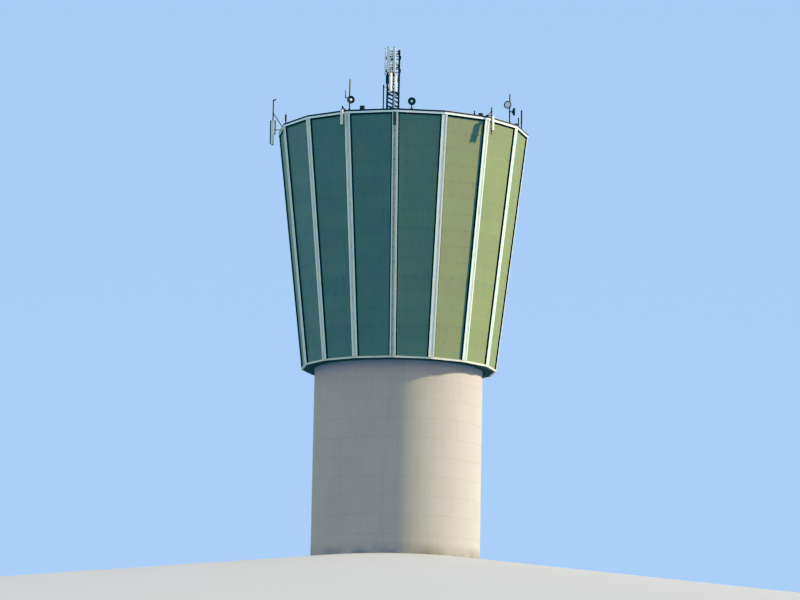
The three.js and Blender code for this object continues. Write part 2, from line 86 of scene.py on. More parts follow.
class Bench:
    """Gathers the faces of one piece, each with the number of its finish."""

    def __init__(self):
        self.points = []
        self.faces = []
        self.finishes = []

    def add(self, points, faces, place=Matrix(), finish=0):
        start = len(self.points)
        self.points += [place @ Vector(point) for point in points]
        self.faces += [[start + k for k in face] for face in faces]
        self.finishes += [finish] * len(faces)

    def skin(self, rings, place=Matrix(), finish=0, hollow=False):
        """A skin over rings of points: closed at both ends, or joined end to end where hollow."""
        count = len(rings[0])
        faces = []
        for ring in range(len(rings) if hollow else len(rings) - 1):
            low, high = ring * count, (ring + 1) % len(rings) * count
            for k in range(count):
                after = (k + 1) % count
                faces.append((low + k, low + after, high + after, high + k))
        if not hollow:
            last = (len(rings) - 1) * count
            faces += [range(count), range(last, last + count)]
        self.add([point for ring in rings for point in ring], faces, place, finish)


def piece(bench, name, materials, stands_for=(), crease=35, place=Matrix()):
    """Makes the piece from what its bench holds. Edges sharper than crease degrees stay sharp."""
    mesh = bpy.data.meshes.new(name)
    mesh.from_pydata(bench.points, [], bench.faces)
    mesh.polygons.foreach_set("material_index", bench.finishes)
    shape = bmesh.new()
    shape.from_mesh(mesh)
    bmesh.ops.recalc_face_normals(shape, faces=shape.faces)
    shape.to_mesh(mesh)
    shape.free()
    mesh.polygons.foreach_set("use_smooth", [True] * len(mesh.polygons))
    mesh.set_sharp_from_angle(angle=math.radians(crease))
    for material in materials:
        mesh.materials.append(material)
    return fit(mesh, name, stands_for, place)


def fit(mesh, name, stands_for, place=Matrix()):
    """Puts a mesh in its place on the tower, as the piece that stands for these solids."""
    made = bpy.data.objects.new(name, mesh)
    bpy.context.scene.collection.objects.link(made)
    made.matrix_world = place
    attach(made, "root")
    if stands_for:
        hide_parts(*stands_for)
    return made


def paint(code):
    """The linear colour of an sRGB hex code."""
    shares = [int(code[k:k + 2], 16) / 255 for k in (0, 2, 4)]
    linear = [s / 12.92 if s <= 0.04045 else ((s + 0.055) / 1.055) ** 2.4 for s in shares]
    return (*linear, 1.0)


def dimmed(colour, share):
    """A colour at this share of its brightness."""
    return (*[c * share for c in colour[:3]], 1)


def blank(name):
    """A new material with nothing in its node tree yet."""
    material = bpy.data.materials.new(name)
    material.use_nodes = True
    material.node_tree.nodes.clear()
    return material, material.node_tree


def node(tree, kind, inputs=None, **settings):
    """Adds a node. An input is a value, an output, or a node, which gives its first output."""
    made = tree.nodes.new("ShaderNode" + kind)
    for key, value in settings.items():
        setattr(made, key, value)
    for key, value in (inputs or {}).items():
        if isinstance(value, bpy.types.Node):
            value = value.outputs[0]
        if isinstance(value, bpy.types.NodeSocket):
            tree.links.new(value, made.inputs[key])
        else:
            made.inputs[key].default_value = value
    return made


def weather(tree, run_width):
    """Where a surface is, and how the weather has marked it there: long runs of rain about
    run_width apart, and clouds about two metres across."""
    spot = node(tree, "NewGeometry").outputs["Position"]
    drawn = node(tree, "Mapping", {"Vector": spot, "Scale": (1, 1, 0.06)})
    run = node(tree, "TexNoise", {
        "Vector": drawn, "Scale": 1 / run_width, "Detail": 4.0, "Roughness": 0.62,
    })
    runs = node(tree, "MapRange", {"Value": run, "From Min": 0.5, "From Max": 0.78})
    cloud = node(tree, "TexNoise", {"Vector": spot, "Scale": 0.45, "Detail": 5.0, "Roughness": 0.6})
    clouds = node(tree, "MapRange", {"Value": cloud, "From Min": 0.3, "From Max": 0.7})
    return spot, runs, clouds


def over(tree, under, colour, cover, strength=1.0, mode="MIX"):
    """Lays a colour over another, as strongly as its cover, from 0 to 1, and the strength say."""
    share = node(tree, "Math", {0: cover, 1: strength}, operation="MULTIPLY")
    laid = node(tree, "Mix", {0: share, 6: under, 7: colour}, data_type="RGBA", blend_type=mode)
    return laid.outputs[2]


def coat(tree, colour, bump, roughness, **fixed):
    """The surface itself. What is the same all over goes straight on the shader's sockets."""
    sockets = {"Base Color": colour, "Roughness": roughness, **fixed}
    if bump:
        height, depth = bump
        sockets["Normal"] = node(tree, "Bump", {"Height": height, "Distance": depth})
    node(tree, "OutputMaterial", {"Surface": node(tree, "BsdfPrincipled", sockets)})


def limewashed_concrete(name, wash, damp):
    """Limewash on smooth concrete: chalky and even, a shade darker panel by panel, with thin grey
    runs below each lift, grit under the wash, and a damp, faintly green foot."""
    material, tree = blank(name)
    spot, runs, clouds = weather(tree, 0.28)
    x, y, z = node(tree, "SeparateXYZ", {0: spot}).outputs
    away = node(tree, "Math", {0: y, 1: -1.0}, operation="MULTIPLY")
    turn = node(tree, "Math", {0: x, 1: away}, operation="ARCTAN2")
    girth = node(tree, "Math", {0: turn, 1: SHAFT_R}, operation="MULTIPLY")
    shutters = node(tree, "TexBrick", {
        "Vector": node(tree, "CombineXYZ", {0: girth, 1: z}), "Scale": 1.0,
        "Color1": (0.96, 0.96, 0.95, 1), "Color2": (1, 1, 1, 1), "Mortar": (0.82, 0.81, 0.79, 1),
        "Mortar Size": 0.006, "Mortar Smooth": 0.5,
        "Brick Width": math.tau * SHAFT_R / SHUTTERS, "Row Height": LIFT,
    }, offset=0.0)
    sand = node(tree, "TexNoise", {"Vector": spot, "Scale": SAND, "Detail": 3.0})
    colour = over(tree, wash, dimmed(wash, 0.9), clouds, 0.4)
    colour = over(tree, colour, shutters, 0.8, mode="MULTIPLY")
    colour = over(tree, colour, paint("77766f"), runs, 0.13)
    near_foot = node(tree, "MapRange", {"Value": z, "From Min": 0.9, "From Max": 0.0})
    colour = over(tree, colour, damp, near_foot, clouds)
    coat(tree, colour, (sand, 0.0015), 0.86)
    return material


def cast_quarter(name, columns, rows, opening):
    """A wall between (outer, inner) azimuths and (level, groove depth) rows, without its open
    cells."""
    cells = set(itertools.product(range(len(columns) - 1), range(len(rows) - 1))) - opening
    found, points, faces = {}, [], []

    def corner(column, row, inside):
        key = column, row, inside
        if key not in found:
            found[key] = len(points)
            level, groove = rows[row]
            radius = SHAFT_R - (SHAFT_WALL if inside else groove)
            points.append(compass(radius, columns[column][inside], level))
        return found[key]

    for c, r in sorted(cells):
        for inside in (0, 1):
            around = ((c, r), (c + 1, r), (c + 1, r + 1), (c, r + 1))
            faces.append([corner(*at, inside) for at in around])
        for next_cell, ends in (
            ((c - 1, r), ((c, r), (c, r + 1))),
            ((c + 1, r), ((c + 1, r), (c + 1, r + 1))),
            ((c, r - 1), ((c, r), (c + 1, r))),
            ((c, r + 1), ((c, r + 1), (c + 1, r + 1))),
        ):
            if next_cell not in cells:
                a, b = ends
                faces.append([corner(*a, 0), corner(*b, 0), corner(*b, 1), corner(*a, 1)])
    bench = Bench()
    bench.add(points, faces)
    piece(bench, name, [shaft_wash], [name.replace("shaft", "shaft_wall")])


shaft_wash = limewashed_concrete("limewashed_concrete", paint("c6b8aa"), paint("6f7264"))
rows = [(0.0, 0.0), (SLAB_TOP, 0.0), (DOOR_TOP, 0.0), (SHAFT_TOP, 0.0)]
for lift in range(1, round(SHAFT_TOP / LIFT)):
    rows += [(lift * LIFT - GROOVE, 0.0), (lift * LIFT, GROOVE), (lift * LIFT + GROOVE, 0.0)]
rows.sort()
door_rows = [k for k, (level, _) in enumerate(rows[:-1]) if SLAB_TOP <= level < DOOR_TOP]
BESIDE_DOOR, OVER_DOOR, NO_DOOR = 30, 6, 64  # columns in the quarter's stretches of wall
for quarter, side in enumerate(("front", "right", "back", "left")):
    middle = quarter * math.tau / 4
    edges = []
    for radius in (SHAFT_R, SHAFT_R - SHAFT_WALL):
        half = math.tau / 8 - SEAT / 2 / radius
        jamb = math.asin(DOOR_HALF / radius)
        if side == "back":
            edges.append(steps(middle - half, middle - jamb, BESIDE_DOOR)
                         + steps(middle - jamb, middle + jamb, OVER_DOOR)[1:-1]
                         + steps(middle + jamb, middle + half, BESIDE_DOOR))
        else:
            edges.append(steps(middle - half, middle + half, NO_DOOR))
    opening = set()
    if side == "back":
        opening.update(itertools.product(range(BESIDE_DOOR, BESIDE_DOOR + OVER_DOOR), door_rows))
    cast_quarter(f"shaft_{side}", list(zip(*edges)), rows, opening)

# Ground slab: the floor inside the shaft, cast on the ground and worked smooth with a float. The
# plain concrete is left bare, and the solid keeps its shape.


def refinish(solid, material):
    """Gives a solid that keeps its shape the finish of the real piece."""
    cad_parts[solid].material_slots[0].material = material


refinish("ground_slab", limewashed_concrete("floated_concrete", paint("8f8b84"), paint("6a6860")))

# Service door: a folded steel frame and a flush steel leaf with two pressed panels and a louvre,
# on three barrel hinges, with a lever handle. It opens outwards and is shut.
DOOR_LINE = SHAFT_R - SHAFT_WALL / 2
DOOR_PLACE = Matrix.Rotation(math.pi, 4, "Z") @ Matrix.Translation((0, -DOOR_LINE, 0))
FRAME_FACE = 0.045
LEAF_HALF = DOOR_HALF - FRAME_FACE
LEAF_FOOT, LEAF_TOP = SLAB_TOP + 0.03, DOOR_TOP - FRAME_FACE
LEAF_MIDDLE = (LEAF_FOOT + LEAF_TOP) / 2
LEAF_FACE, LEAF_THICK = -0.03, 0.045
LOUVRE_HALF, LOUVRE_FOOT, LOUVRE_TOP = 0.27, LEAF_FOOT + 0.12, LEAF_FOOT + 0.5
HINGE_Y, HINGE_R = -0.078, 0.011
HANDLE_X, HANDLE_Z, HANDLE_OUT = LEAF_HALF - 0.075, SLAB_TOP + 1.05, 0.055


def painted_sheet(name, colour, chalk, grime, roughness, runs_share=0.3, run_width=0.2, **fixed):
    """Factory-painted sheet after some years outside: satin, chalked paler in clouds, with thin
    dirty runs below laps and screws, and a gloss that varies in patches about 110 mm across."""
    material, tree = blank(name)
    spot, runs, clouds = weather(tree, run_width)
    fine = node(tree, "TexNoise", {"Vector": spot, "Scale": 9.0, "Detail": 4.0})
    tone = over(tree, over(tree, colour, chalk, clouds), grime, runs, runs_share)
    gloss = node(tree, "MapRange", {
        "Value": fine, "From Min": 0.3, "From Max": 0.7,
        "To Min": roughness - 0.06, "To Max": roughness + 0.08,
    })
    coat(tree, tone, (fine, 0.0006), gloss, **fixed)
    return material


def galvanised(name, shade, bloom=0.25):
    """Hot-dip zinc that has weathered dull: dark grey metal, with spangles about 25 mm across that
    differ a little in tone, and paler bloom where rain lies."""
    material, tree = blank(name)
    spot, runs, clouds = weather(tree, 0.12)
    spangle = node(tree, "TexVoronoi", {"Vector": spot, "Scale": 40.0})
    tone = node(tree, "MapRange", {
        "Value": spangle.outputs["Color"], "To Min": 0.86, "To Max": 1.12,
    })
    tones = node(tree, "CombineColor", {0: tone, 1: tone, 2: tone})
    tone = over(tree, shade, tones, 1.0, mode="MULTIPLY")
    tone = over(tree, tone, paint("9a9f9f"), clouds, bloom)
    coat(tree, tone, (spangle.outputs["Distance"], 0.0003), 0.52, Metallic=0.65)
    return material


def upright(start, end, side=Vector((0, 0, 1))):
    """The place of a bar from start to end: its Z runs along it and its Y lies towards side."""
    start, end = Vector(start), Vector(end)
    z = (end - start).normalized()
    y = side - z * side.dot(z)
    if y.length < 0.01:
        y = Vector((0, 1, 0)) - z * z.y
    y.normalize()
    turn = Matrix((y.cross(z), y, z)).transposed().to_4x4()
    return Matrix.Translation(start) @ turn


def block(bench, size, middle, place=Matrix(), finish=0, ease=0.004):
    """A block with all its edges eased."""
    half = [side / 2 for side in size]
    ease = min(ease, 0.45 * min(half))
    corners = list(itertools.product((-1, 1), repeat=3))
    points, at = [], {}
    for corner in corners:
        for face in range(3):
            at[corner, face] = len(points)
            points.append([corner[k] * (half[k] - (0 if k == face else ease)) for k in range(3)])
    faces = [[at[corner, face] for face in range(3)] for corner in corners]
    for a, b, c in ((0, 1, 2), (1, 2, 0), (2, 0, 1)):
        def pick(*signs):
            return tuple(dict(zip((a, b, c), signs))[k] for k in range(3))
        for s in (-1, 1):
            faces.append([at[pick(s, u, v), a] for u, v in ((-1, -1), (1, -1), (1, 1), (-1, 1))])
            for t in (-1, 1):
                low, high = pick(-1, s, t), pick(1, s, t)
                faces.append([at[low, b], at[low, c], at[high, c], at[high, b]])
    bench.add(points, faces, place @ Matrix.Translation(middle), finish)


def turned(bench, profile, place=Matrix(), sides=20, finish=0):
    """A piece turned about its own Z from (radius, height) pairs."""
    angles = [k * math.tau / sides for k in range(sides)]
    bench.skin([[compass(r, a, z) for a in angles] for r, z in profile], place, finish)


def tube(bench, start, end, radius, sides=12, finish=0, ease=0.002, place=Matrix()):
    """A round bar with eased ends."""
    length = (Vector(end) - Vector(start)).length
    profile = [(radius - ease, 0), (radius, ease), (radius, length - ease), (radius - ease, length)]
    turned(bench, profile, place @ upright(start, end), sides, finish)


def bordered(bench, profile, half_wide, half_high, place):
    """A mitred border in the XZ plane from (inset from the outer edge, Y) pairs."""
    rings = [[(sx * (half_wide - inset), y, sz * (half_high - inset)) for inset, y in profile]
             for sx, sz in ((-1, -1), (1, -1), (1, 1), (-1, 1))]
    bench.skin(rings, place, hollow=True)


def raised(level):
    """The door's place, moved up to a level."""
    return DOOR_PLACE @ Matrix.Translation((0, 0, level))


zinc = galvanised("weathered_zinc", paint("6e7476"))
door_paint = painted_sheet(
    "satin_door_paint", paint("50564a"), paint("5e6457"), paint("32342c"), 0.5)
door = Bench()
bordered(door, [
    (0.0, 0.066), (0.0, -0.062), (0.004, -0.066), (0.05, -0.066), (0.053, -0.062),
    (0.053, -0.01), (0.066, -0.01), (0.066, 0.066),
], DOOR_HALF - SEAT, (DOOR_TOP - SLAB_TOP) / 2 - SEAT, raised((DOOR_TOP + SLAB_TOP) / 2))
block(door, (2 * LEAF_HALF - 0.02, LEAF_THICK, LEAF_TOP - LEAF_FOOT - 0.02),
      (0, LEAF_FACE + LEAF_THICK / 2, LEAF_MIDDLE), DOOR_PLACE)
pressing = [(0, 0.01), (0, -0.001), (0.008, -0.006), (0.03, -0.006), (0.04, -0.001), (0.04, 0.01)]
for foot, top in ((LEAF_FOOT + 0.62, LEAF_FOOT + 1.16), (LEAF_FOOT + 1.26, LEAF_TOP - 0.12)):
    bordered(door, [(inset, LEAF_FACE + y) for inset, y in pressing],
             LEAF_HALF - 0.12, (top - foot) / 2, raised((foot + top) / 2))
louvre_edge = [(0, 0.01), (0, -0.01), (0.004, -0.014), (0.02, -0.014), (0.024, 0.01)]
bordered(door, [(inset, LEAF_FACE + y) for inset, y in louvre_edge],
         LOUVRE_HALF, (LOUVRE_TOP - LOUVRE_FOOT) / 2, raised((LOUVRE_FOOT + LOUVRE_TOP) / 2))
for z in steps(LOUVRE_FOOT + 0.04, LOUVRE_TOP - 0.04, 9):
    slat = DOOR_PLACE @ Matrix.Translation((0, LEAF_FACE - 0.003, z))
    slat = slat @ Matrix.Rotation(math.radians(-38), 4, "X")
    block(door, (0.5, 0.003, 0.034), (0, 0, 0), slat, ease=0.001)
for z in (LEAF_FOOT + 0.22, LEAF_MIDDLE, LEAF_TOP - 0.22):
    tube(door, (-LEAF_HALF, HINGE_Y, z - 0.06), (-LEAF_HALF, HINGE_Y, z + 0.06), HINGE_R, 14, 1,
         place=DOOR_PLACE)
    block(door, (0.03, 0.014, 0.1), (-LEAF_HALF, -0.071, z), DOOR_PLACE, 1, 0.002)
block(door, (0.045, 0.01, 0.22), (HANDLE_X, LEAF_FACE - 0.005, HANDLE_Z - 0.03), DOOR_PLACE, 1,
      0.003)
lever = LEAF_FACE - HANDLE_OUT + 0.005
for start, end, radius, ease in (
    ((HANDLE_X, LEAF_FACE, HANDLE_Z), (HANDLE_X, LEAF_FACE - HANDLE_OUT, HANDLE_Z), 0.01, 0.002),
    ((HANDLE_X + 0.01, lever, HANDLE_Z), (HANDLE_X - 0.12, lever, HANDLE_Z), 0.009, 0.004),
    ((HANDLE_X, LEAF_FACE, HANDLE_Z - 0.08), (HANDLE_X, LEAF_FACE - 0.014, HANDLE_Z - 0.08),
     0.0085, 0.002),
):
    tube(door, start, end, radius, 14, 1, ease, DOOR_PLACE)
block(door, (2 * DOOR_HALF - 0.14, 0.1, 0.02), (0, -0.04, SLAB_TOP + 0.016), DOOR_PLACE, 1)
block(door, (2 * DOOR_HALF - 0.02, 0.06, 0.025), (0, -0.1, DOOR_TOP - 0.014), DOOR_PLACE, 1, 0.003)
piece(door, "steel_door", [door_paint, zinc], ["service_door"])

# Soffit: cement boards screwed up under the tank floor between the shaft and the drip edge, one
# to a bay, painted dark green and drawn darker still as painted shade under the tank. The tank
# has sixteen sides, with a rib on each of its corners.
SIDES = 16
BAY = math.tau / SIDES
FIRST_RIB = math.radians(-3.7)
SOFFIT = levels("tank_floor")[0]
BOARD = 0.008
BOARD_GAP = 0.012  # from the shaft and from the drip edge
BOARD_JOINT = 0.006
BOARD_ROWS = (0.09, 0.55)  # of screws, from the shaft


def on_side(radius, azimuth):
    """Distance from the axis to a side of the sixteen-sided outline whose corners have this
    radius."""
    turn = (azimuth - FIRST_RIB) / BAY
    return radius * math.cos(BAY / 2) / math.cos((turn - math.floor(turn) - 0.5) * BAY)


def prism(bench, outline, low, high, place=Matrix()):
    """A straight length of an (x, y) outline."""
    bench.skin([[(x, y, z) for x, y in outline] for z in (low, high)], place)


def bolt(bench, spot, out, size, finish=0, place=Matrix()):
    """A hexagon head on a washer, standing on a surface that faces out."""
    spot, out = place @ Vector(spot), place.to_3x3() @ Vector(out)
    seat = upright(spot, spot + out, Vector((0.3, 0.2, 1)))
    turned(bench, [(size, 0), (size, 0.16 * size)], seat, 10, finish)
    head = [(0.6 * size, 0.1 * size), (0.6 * size, 0.6 * size), (0.45 * size, 0.72 * size)]
    turned(bench, head, seat, 6, finish)


# A dark green made darker than the paint: painted shade under the tank.
soffit_paint_and_shade = painted_sheet(
    "flat_soffit_paint_and_painted_shade", paint("30392f"), paint("3a4439"), paint("1e231e"), 0.8, 0.2, 0.4)
refinish("tank_floor", soffit_paint_and_shade)
boards = Bench()
board_outer = reach_of("tank_floor", SOFFIT) - BOARD_GAP
joint = BOARD_JOINT / 2 / SHAFT_R
for bay in range(SIDES):
    start, end = FIRST_RIB + bay * BAY + joint, FIRST_RIB + bay * BAY + BAY - joint
    inner = [compass(SHAFT_R + BOARD_GAP, azimuth).xy for azimuth in steps(start, end, 6)]
    outer = [compass(on_side(board_outer, azimuth), azimuth).xy for azimuth in (end, start)]
    prism(boards, inner + outer, SOFFIT - BOARD, SOFFIT - SEAT)
    for share, row in itertools.product(steps(0.08, 0.92, 5), BOARD_ROWS):
        azimuth = FIRST_RIB + (bay + share) * BAY
        bolt(boards, compass(SHAFT_R + row, azimuth, SOFFIT - BOARD), (0, 0, -1), 0.008)
piece(boards, "soffit_boards", [soffit_paint_and_shade], crease=15)

# Drip edge: cream sheet folded over the foot of the cladding, with a nose that sheds the rain. It
# comes in a length for each bay, and a cap covers each corner joint.
DRIP_FOOT, DRIP_TOP = levels("drip_edge")
DRIP_R = reach_of("drip_edge", DRIP_FOOT)
TRIM_JOINT = 0.002


def hole_in(solid):
    """The corner radius of the hole in a ring."""
    return min(vertex.co.xy.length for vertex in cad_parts[solid].data.vertices)


def trim(bench, profile, azimuths, grow=0.0, finish=0):
    """A strip of rim or drip edge through these azimuths, from (corner radius, level) pairs."""
    bench.skin([
        [compass(on_side(radius + grow, azimuth), azimuth, z) for radius, z in profile]
        for azimuth in azimuths
    ], finish=finish)


def trim_lengths(bench, profile, cover, grow):
    """A length for each bay, and a cap of the profile over each corner."""
    reach = max(radius for radius, _ in profile)
    gap, half = TRIM_JOINT / reach, cover / 2 / reach
    for bay in range(SIDES):
        start = FIRST_RIB + bay * BAY
        trim(bench, profile, (start + gap, start + BAY / 2, start + BAY - gap))
        trim(bench, profile, (start - half, start, start + half), grow)


DRIP_IN = hole_in("drip_edge") + 0.001
cream_sheet = painted_sheet(
    "cream_painted_sheet", paint("d9d7bd"), paint("e2e0cc"), paint("8a8871"), 0.5)
drip = Bench()
trim_lengths(drip, [
    (DRIP_IN, DRIP_TOP - 0.01), (DRIP_IN + 0.01, DRIP_TOP - SEAT),
    (DRIP_R - 0.012, DRIP_TOP - SEAT), (DRIP_R - 0.003, DRIP_TOP - 0.008),
    (DRIP_R - 0.003, DRIP_FOOT + 0.018), (DRIP_R - 0.001, DRIP_FOOT + 0.002),
    (DRIP_R - 0.006, DRIP_FOOT + 0.0005), (DRIP_R - 0.018, DRIP_FOOT + 0.002),
    (DRIP_R - 0.018, DRIP_FOOT + 0.012), (DRIP_IN + 0.01, DRIP_FOOT + 0.012),
    (DRIP_IN, DRIP_FOOT + 0.018),
], 0.09, 0.003)
piece(drip, "drip_edge_sheet", [cream_sheet], ["drip_edge"], crease=15)

# Cladding: coil-coated steel sheets screwed to rails on the tank wall in fifteen courses, each
# lapped 40 mm over the one below. They sit a few millimetres out of flat. The sheets of a bay are
# cut from one coil, and three coils differ a little in hue. On the front the coils paint light:
# the olive one on the bay that the sun grazes, the grey-green one on the three bays left of it,
# for their deeper shade.
WALL_FOOT, WALL_TOP = levels("tank_wall_1")
WALL_FOOT_R, WALL_TOP_R = reach_of("tank_wall_1", WALL_FOOT), reach_of("tank_wall_1", WALL_TOP)
COURSES = 15
LAP = 0.04
SHEET = 0.003
SHEET_OUT = 0.008  # face of a sheet at its foot, in front of the wall
SHEET_LEAN = 0.0045  # how much closer to the wall its head is
BUCKLE = 0.0028
SHEET_GAP = 0.004  # from the rib
ACROSS, TALL = 12, 6  # faces on a sheet
SCREWS = 7
SCREW = [(0.011, -0.002), (0.01, 0.005)]
RIB_HALF = 0.215


def coil_coated(name, colour, chalk, grime):
    """Coil-coated steel: satin green, chalked a little by the sun in clouds, each sheet a shade of
    its own, dirty just below each lap, with long faint runs and a gloss that varies in patches
    about 170 mm across."""
    material, tree = blank(name)
    spot, runs, clouds = weather(tree, 0.3)
    level = node(tree, "SeparateXYZ", {0: spot}).outputs[2]
    above = node(tree, "Math", {0: level, 1: WALL_FOOT}, operation="SUBTRACT")
    sheets_up = COURSES / (WALL_TOP - WALL_FOOT)
    course = node(tree, "Math", {0: above, 1: sheets_up}, operation="MULTIPLY")
    within = node(tree, "Math", {0: course}, operation="FRACT")
    below_lap = node(tree, "MapRange", {"Value": within, "From Min": 0.7, "From Max": 1.0})
    own = node(tree, "NewGeometry").outputs["Random Per Island"]
    shade = node(tree, "MapRange", {"Value": own, "To Min": 0.965, "To Max": 1.035})
    shades = node(tree, "CombineColor", {0: shade, 1: shade, 2: shade})
    tone = over(tree, colour, chalk, clouds)
    tone = over(tree, tone, shades, 1.0, mode="MULTIPLY")
    dirt = node(tree, "Math", {0: below_lap, 1: runs}, operation="MULTIPLY")
    tone = over(tree, tone, grime, dirt, 0.4)
    tone = over(tree, tone, grime, runs, 0.1)
    fine = node(tree, "TexNoise", {"Vector": spot, "Scale": 6.0, "Detail": 4.0})
    gloss = node(tree, "MapRange", {
        "Value": fine, "From Min": 0.3, "From Max": 0.7, "To Min": 0.42, "To Max": 0.56,
    })
    coat(tree, tone, (fine, 0.0006), gloss)
    return material


def sheet_faces():
    """The faces of a thin sheet, whose points are its front's rows and then its back's edge."""
    row = ACROSS + 1
    edge = [*range(row), *(j * row + ACROSS for j in range(1, TALL + 1)),
            *(TALL * row + i for i in range(ACROSS - 1, -1, -1)),
            *(j * row for j in range(TALL - 1, 0, -1))]
    faces = [(j * row + i, j * row + i + 1, (j + 1) * row + i + 1, (j + 1) * row + i)
             for j in range(TALL) for i in range(ACROSS)]
    behind = row * (TALL + 1)
    count = len(edge)
    for k in range(count):
        after = (k + 1) % count
        faces.append((edge[k], edge[after], behind + after, behind + k))
    faces.append([behind + k for k in range(count)])
    return edge, faces


def clad(bench, bay, finish):
    """Lays a bay's sheets from the foot up, each with a row of screws along its own foot."""
    start = FIRST_RIB + bay * BAY
    foot, top = ((compass(radius, start, z) + compass(radius, start + BAY, z)) / 2
                 for radius, z in ((WALL_FOOT_R, WALL_FOOT), (WALL_TOP_R, WALL_TOP)))
    slope = (top - foot).length
    side = (compass(1, start + BAY) - compass(1, start)).normalized()
    up = (top - foot).normalized()
    turn = Matrix((side, up, side.cross(up))).transposed()
    place = Matrix.Translation(foot) @ turn.to_4x4()

    def half_width(t):
        radius = WALL_FOOT_R + (WALL_TOP_R - WALL_FOOT_R) * t / slope
        return math.sin(BAY / 2) * radius - (RIB_HALF + SHEET_GAP) / math.cos(BAY / 2)

    for course in range(COURSES):
        low = slope * course / COURSES + 0.002
        high = min(slope * (course + 1) / COURSES + LAP, slope - 0.002)
        front, back = [], []
        for j, i in itertools.product(range(TALL + 1), range(ACROSS + 1)):
            t = low + (high - low) * j / TALL
            s = half_width(t) * (2 * i / ACROSS - 1)
            flat = SHEET_OUT - SHEET_LEAN * (t - low) / (high - low)
            loose = math.sin(math.pi * i / ACROSS) * math.sin(math.pi * j / TALL) ** 0.5
            buckle = BUCKLE * loose * noise.noise(Vector((s * 1.1, t * 0.9, bay * 7.3)))
            front.append((s, t, flat + buckle))
            back.append((s, t, flat - SHEET))
        edge, faces = sheet_faces()
        bench.add(front + [back[k] for k in edge], faces, place, finish)
        screw_row = low + 0.03
        for share in steps(-1, 1, SCREWS - 1):
            across = (half_width(screw_row) - 0.06) * share
            spot = place @ Vector((across, screw_row, SHEET_OUT + 0.0005))
            turned(bench, SCREW, upright(spot, spot + turn @ Vector((0, 0, 1))), 6, finish)


# Bay 0 takes the olive coil as painted sun, and bays 13 to 15 the grey-green one as painted shade.
COIL_OF_BAY_AND_PAINTED_LIGHT = (1, 0, 0, 0, 2, 2, 0, 1, 1, 0, 2, 2, 0, 2, 2, 2)
coils = []
for name, colour, chalk in (
    ("coil_coated_green", "708555", "788d5b"),
    ("coil_coated_olive", "788555", "808d5b"),
    ("coil_coated_grey_green", "707e56", "78865c"),
):
    coils.append(coil_coated(name, paint(colour), paint(chalk), paint("39443a")))
for segment in range(1, SIDES // 2 + 1):
    refinish(f"tank_wall_{segment}", coils[0])
    sheets = Bench()
    for bay in (2 * segment - 2, 2 * segment - 1):
        clad(sheets, bay, COIL_OF_BAY_AND_PAINTED_LIGHT[bay])
    piece(sheets, f"cladding_sheets_{segment}", coils)

# Ribs: flat pale cover strips over the sixteen corners, with a shallow channel down the middle
# that is drawn darker. Each is six lengths, with a strap screwed over each joint. It stands off
# the wall on a black foam closure, wider than the rib: the black strips it shows along both
# edges are painted shadow.
RIB_LENGTHS = 6
RIB_OUT = 0.08
RIB_BACK = 0.046
CHANNEL = 0.014
# The closure shows 80 mm of black beside each edge of the rib: painted shadow.
CLOSURE_HALF, CLOSURE_NECK, CLOSURE_LIP = 0.295, 0.198, 0.016
STRAP_HALF, STRAP = 0.045, 0.003
FIXINGS = (-0.15, 0.15)  # the two rows of screws, across the rib


def mirrored(half):
    """A symmetric outline, from the points of its right half."""
    return [(-x, y) for x, y in half] + half[::-1]


def rib_paint(name, colour, chalk, grime):
    """White-green polyester paint on folded sheet: brighter than the cladding, with thin dirty
    runs, and much darker down the channel in the middle."""
    material, tree = blank(name)
    spot, runs, clouds = weather(tree, 0.09)
    own = node(tree, "TexCoord").outputs["Object"]
    across = node(tree, "SeparateXYZ", {0: own}).outputs[0]
    off = node(tree, "Math", {0: across}, operation="ABSOLUTE")
    channel = node(tree, "MapRange", {"Value": off, "From Min": 0.096, "From Max": 0.078})
    # The channel in the middle of the rib is painted darker.
    channel_darkening = node(tree, "Math", {0: runs, 1: 0.5, 2: 0.34}, operation="MULTIPLY_ADD")
    tone = over(tree, colour, chalk, clouds)
    tone = over(tree, tone, grime, runs, 0.25)
    tone = over(tree, tone, grime, channel_darkening, channel)
    coat(tree, tone, (runs, 0.0004), 0.46)
    return material


def moulded(name, colour, roughness, **fixed):
    """Moulded plastic or rubber: one even colour, a little duller where dust lies on it."""
    material, tree = blank(name)
    spot, runs, clouds = weather(tree, 0.1)
    tone = over(tree, colour, dimmed(colour, 0.8), clouds, 0.2)
    coat(tree, tone, (runs, 0.0002), roughness, **fixed)
    return material


def corner_radius(z):
    """How far the corners of the tank wall lie from the axis at a level."""
    return WALL_FOOT_R + (WALL_TOP_R - WALL_FOOT_R) * (z - WALL_FOOT) / (WALL_TOP - WALL_FOOT)


def wall_at(x):
    """The wall's face beside a rib, x away from the rib's middle and measured from the corner."""
    return SEAT - abs(x) * math.tan(BAY / 2)


def rib_ring(z, section, grow=0.0):
    """The rib's (across, out) section at a level, grown where a strap laps it."""
    ring = []
    for x, out in section:
        side = math.copysign(grow, x) if x else 0.0
        ring.append((x + side, -(corner_radius(z) + out + (grow if out > RIB_BACK else 0.0)), z))
    return ring


DULL = {"Specular IOR Level": 0.2}
# This black also paints shadow: the closures beside the ribs and under the fascia.
rubber = moulded("black_rubber_and_painted_shadow", paint("1a1c1a"), 0.9, **DULL)
pale_paint = rib_paint("pale_rib_paint", paint("ebf3de"), paint("f0f6e4"), paint("6f7a6d"))
flashing = mirrored([
    (RIB_HALF, RIB_BACK), (RIB_HALF, RIB_OUT - 0.006), (0.209, RIB_OUT), (0.092, RIB_OUT),
    (0.08, RIB_OUT - CHANNEL),
])
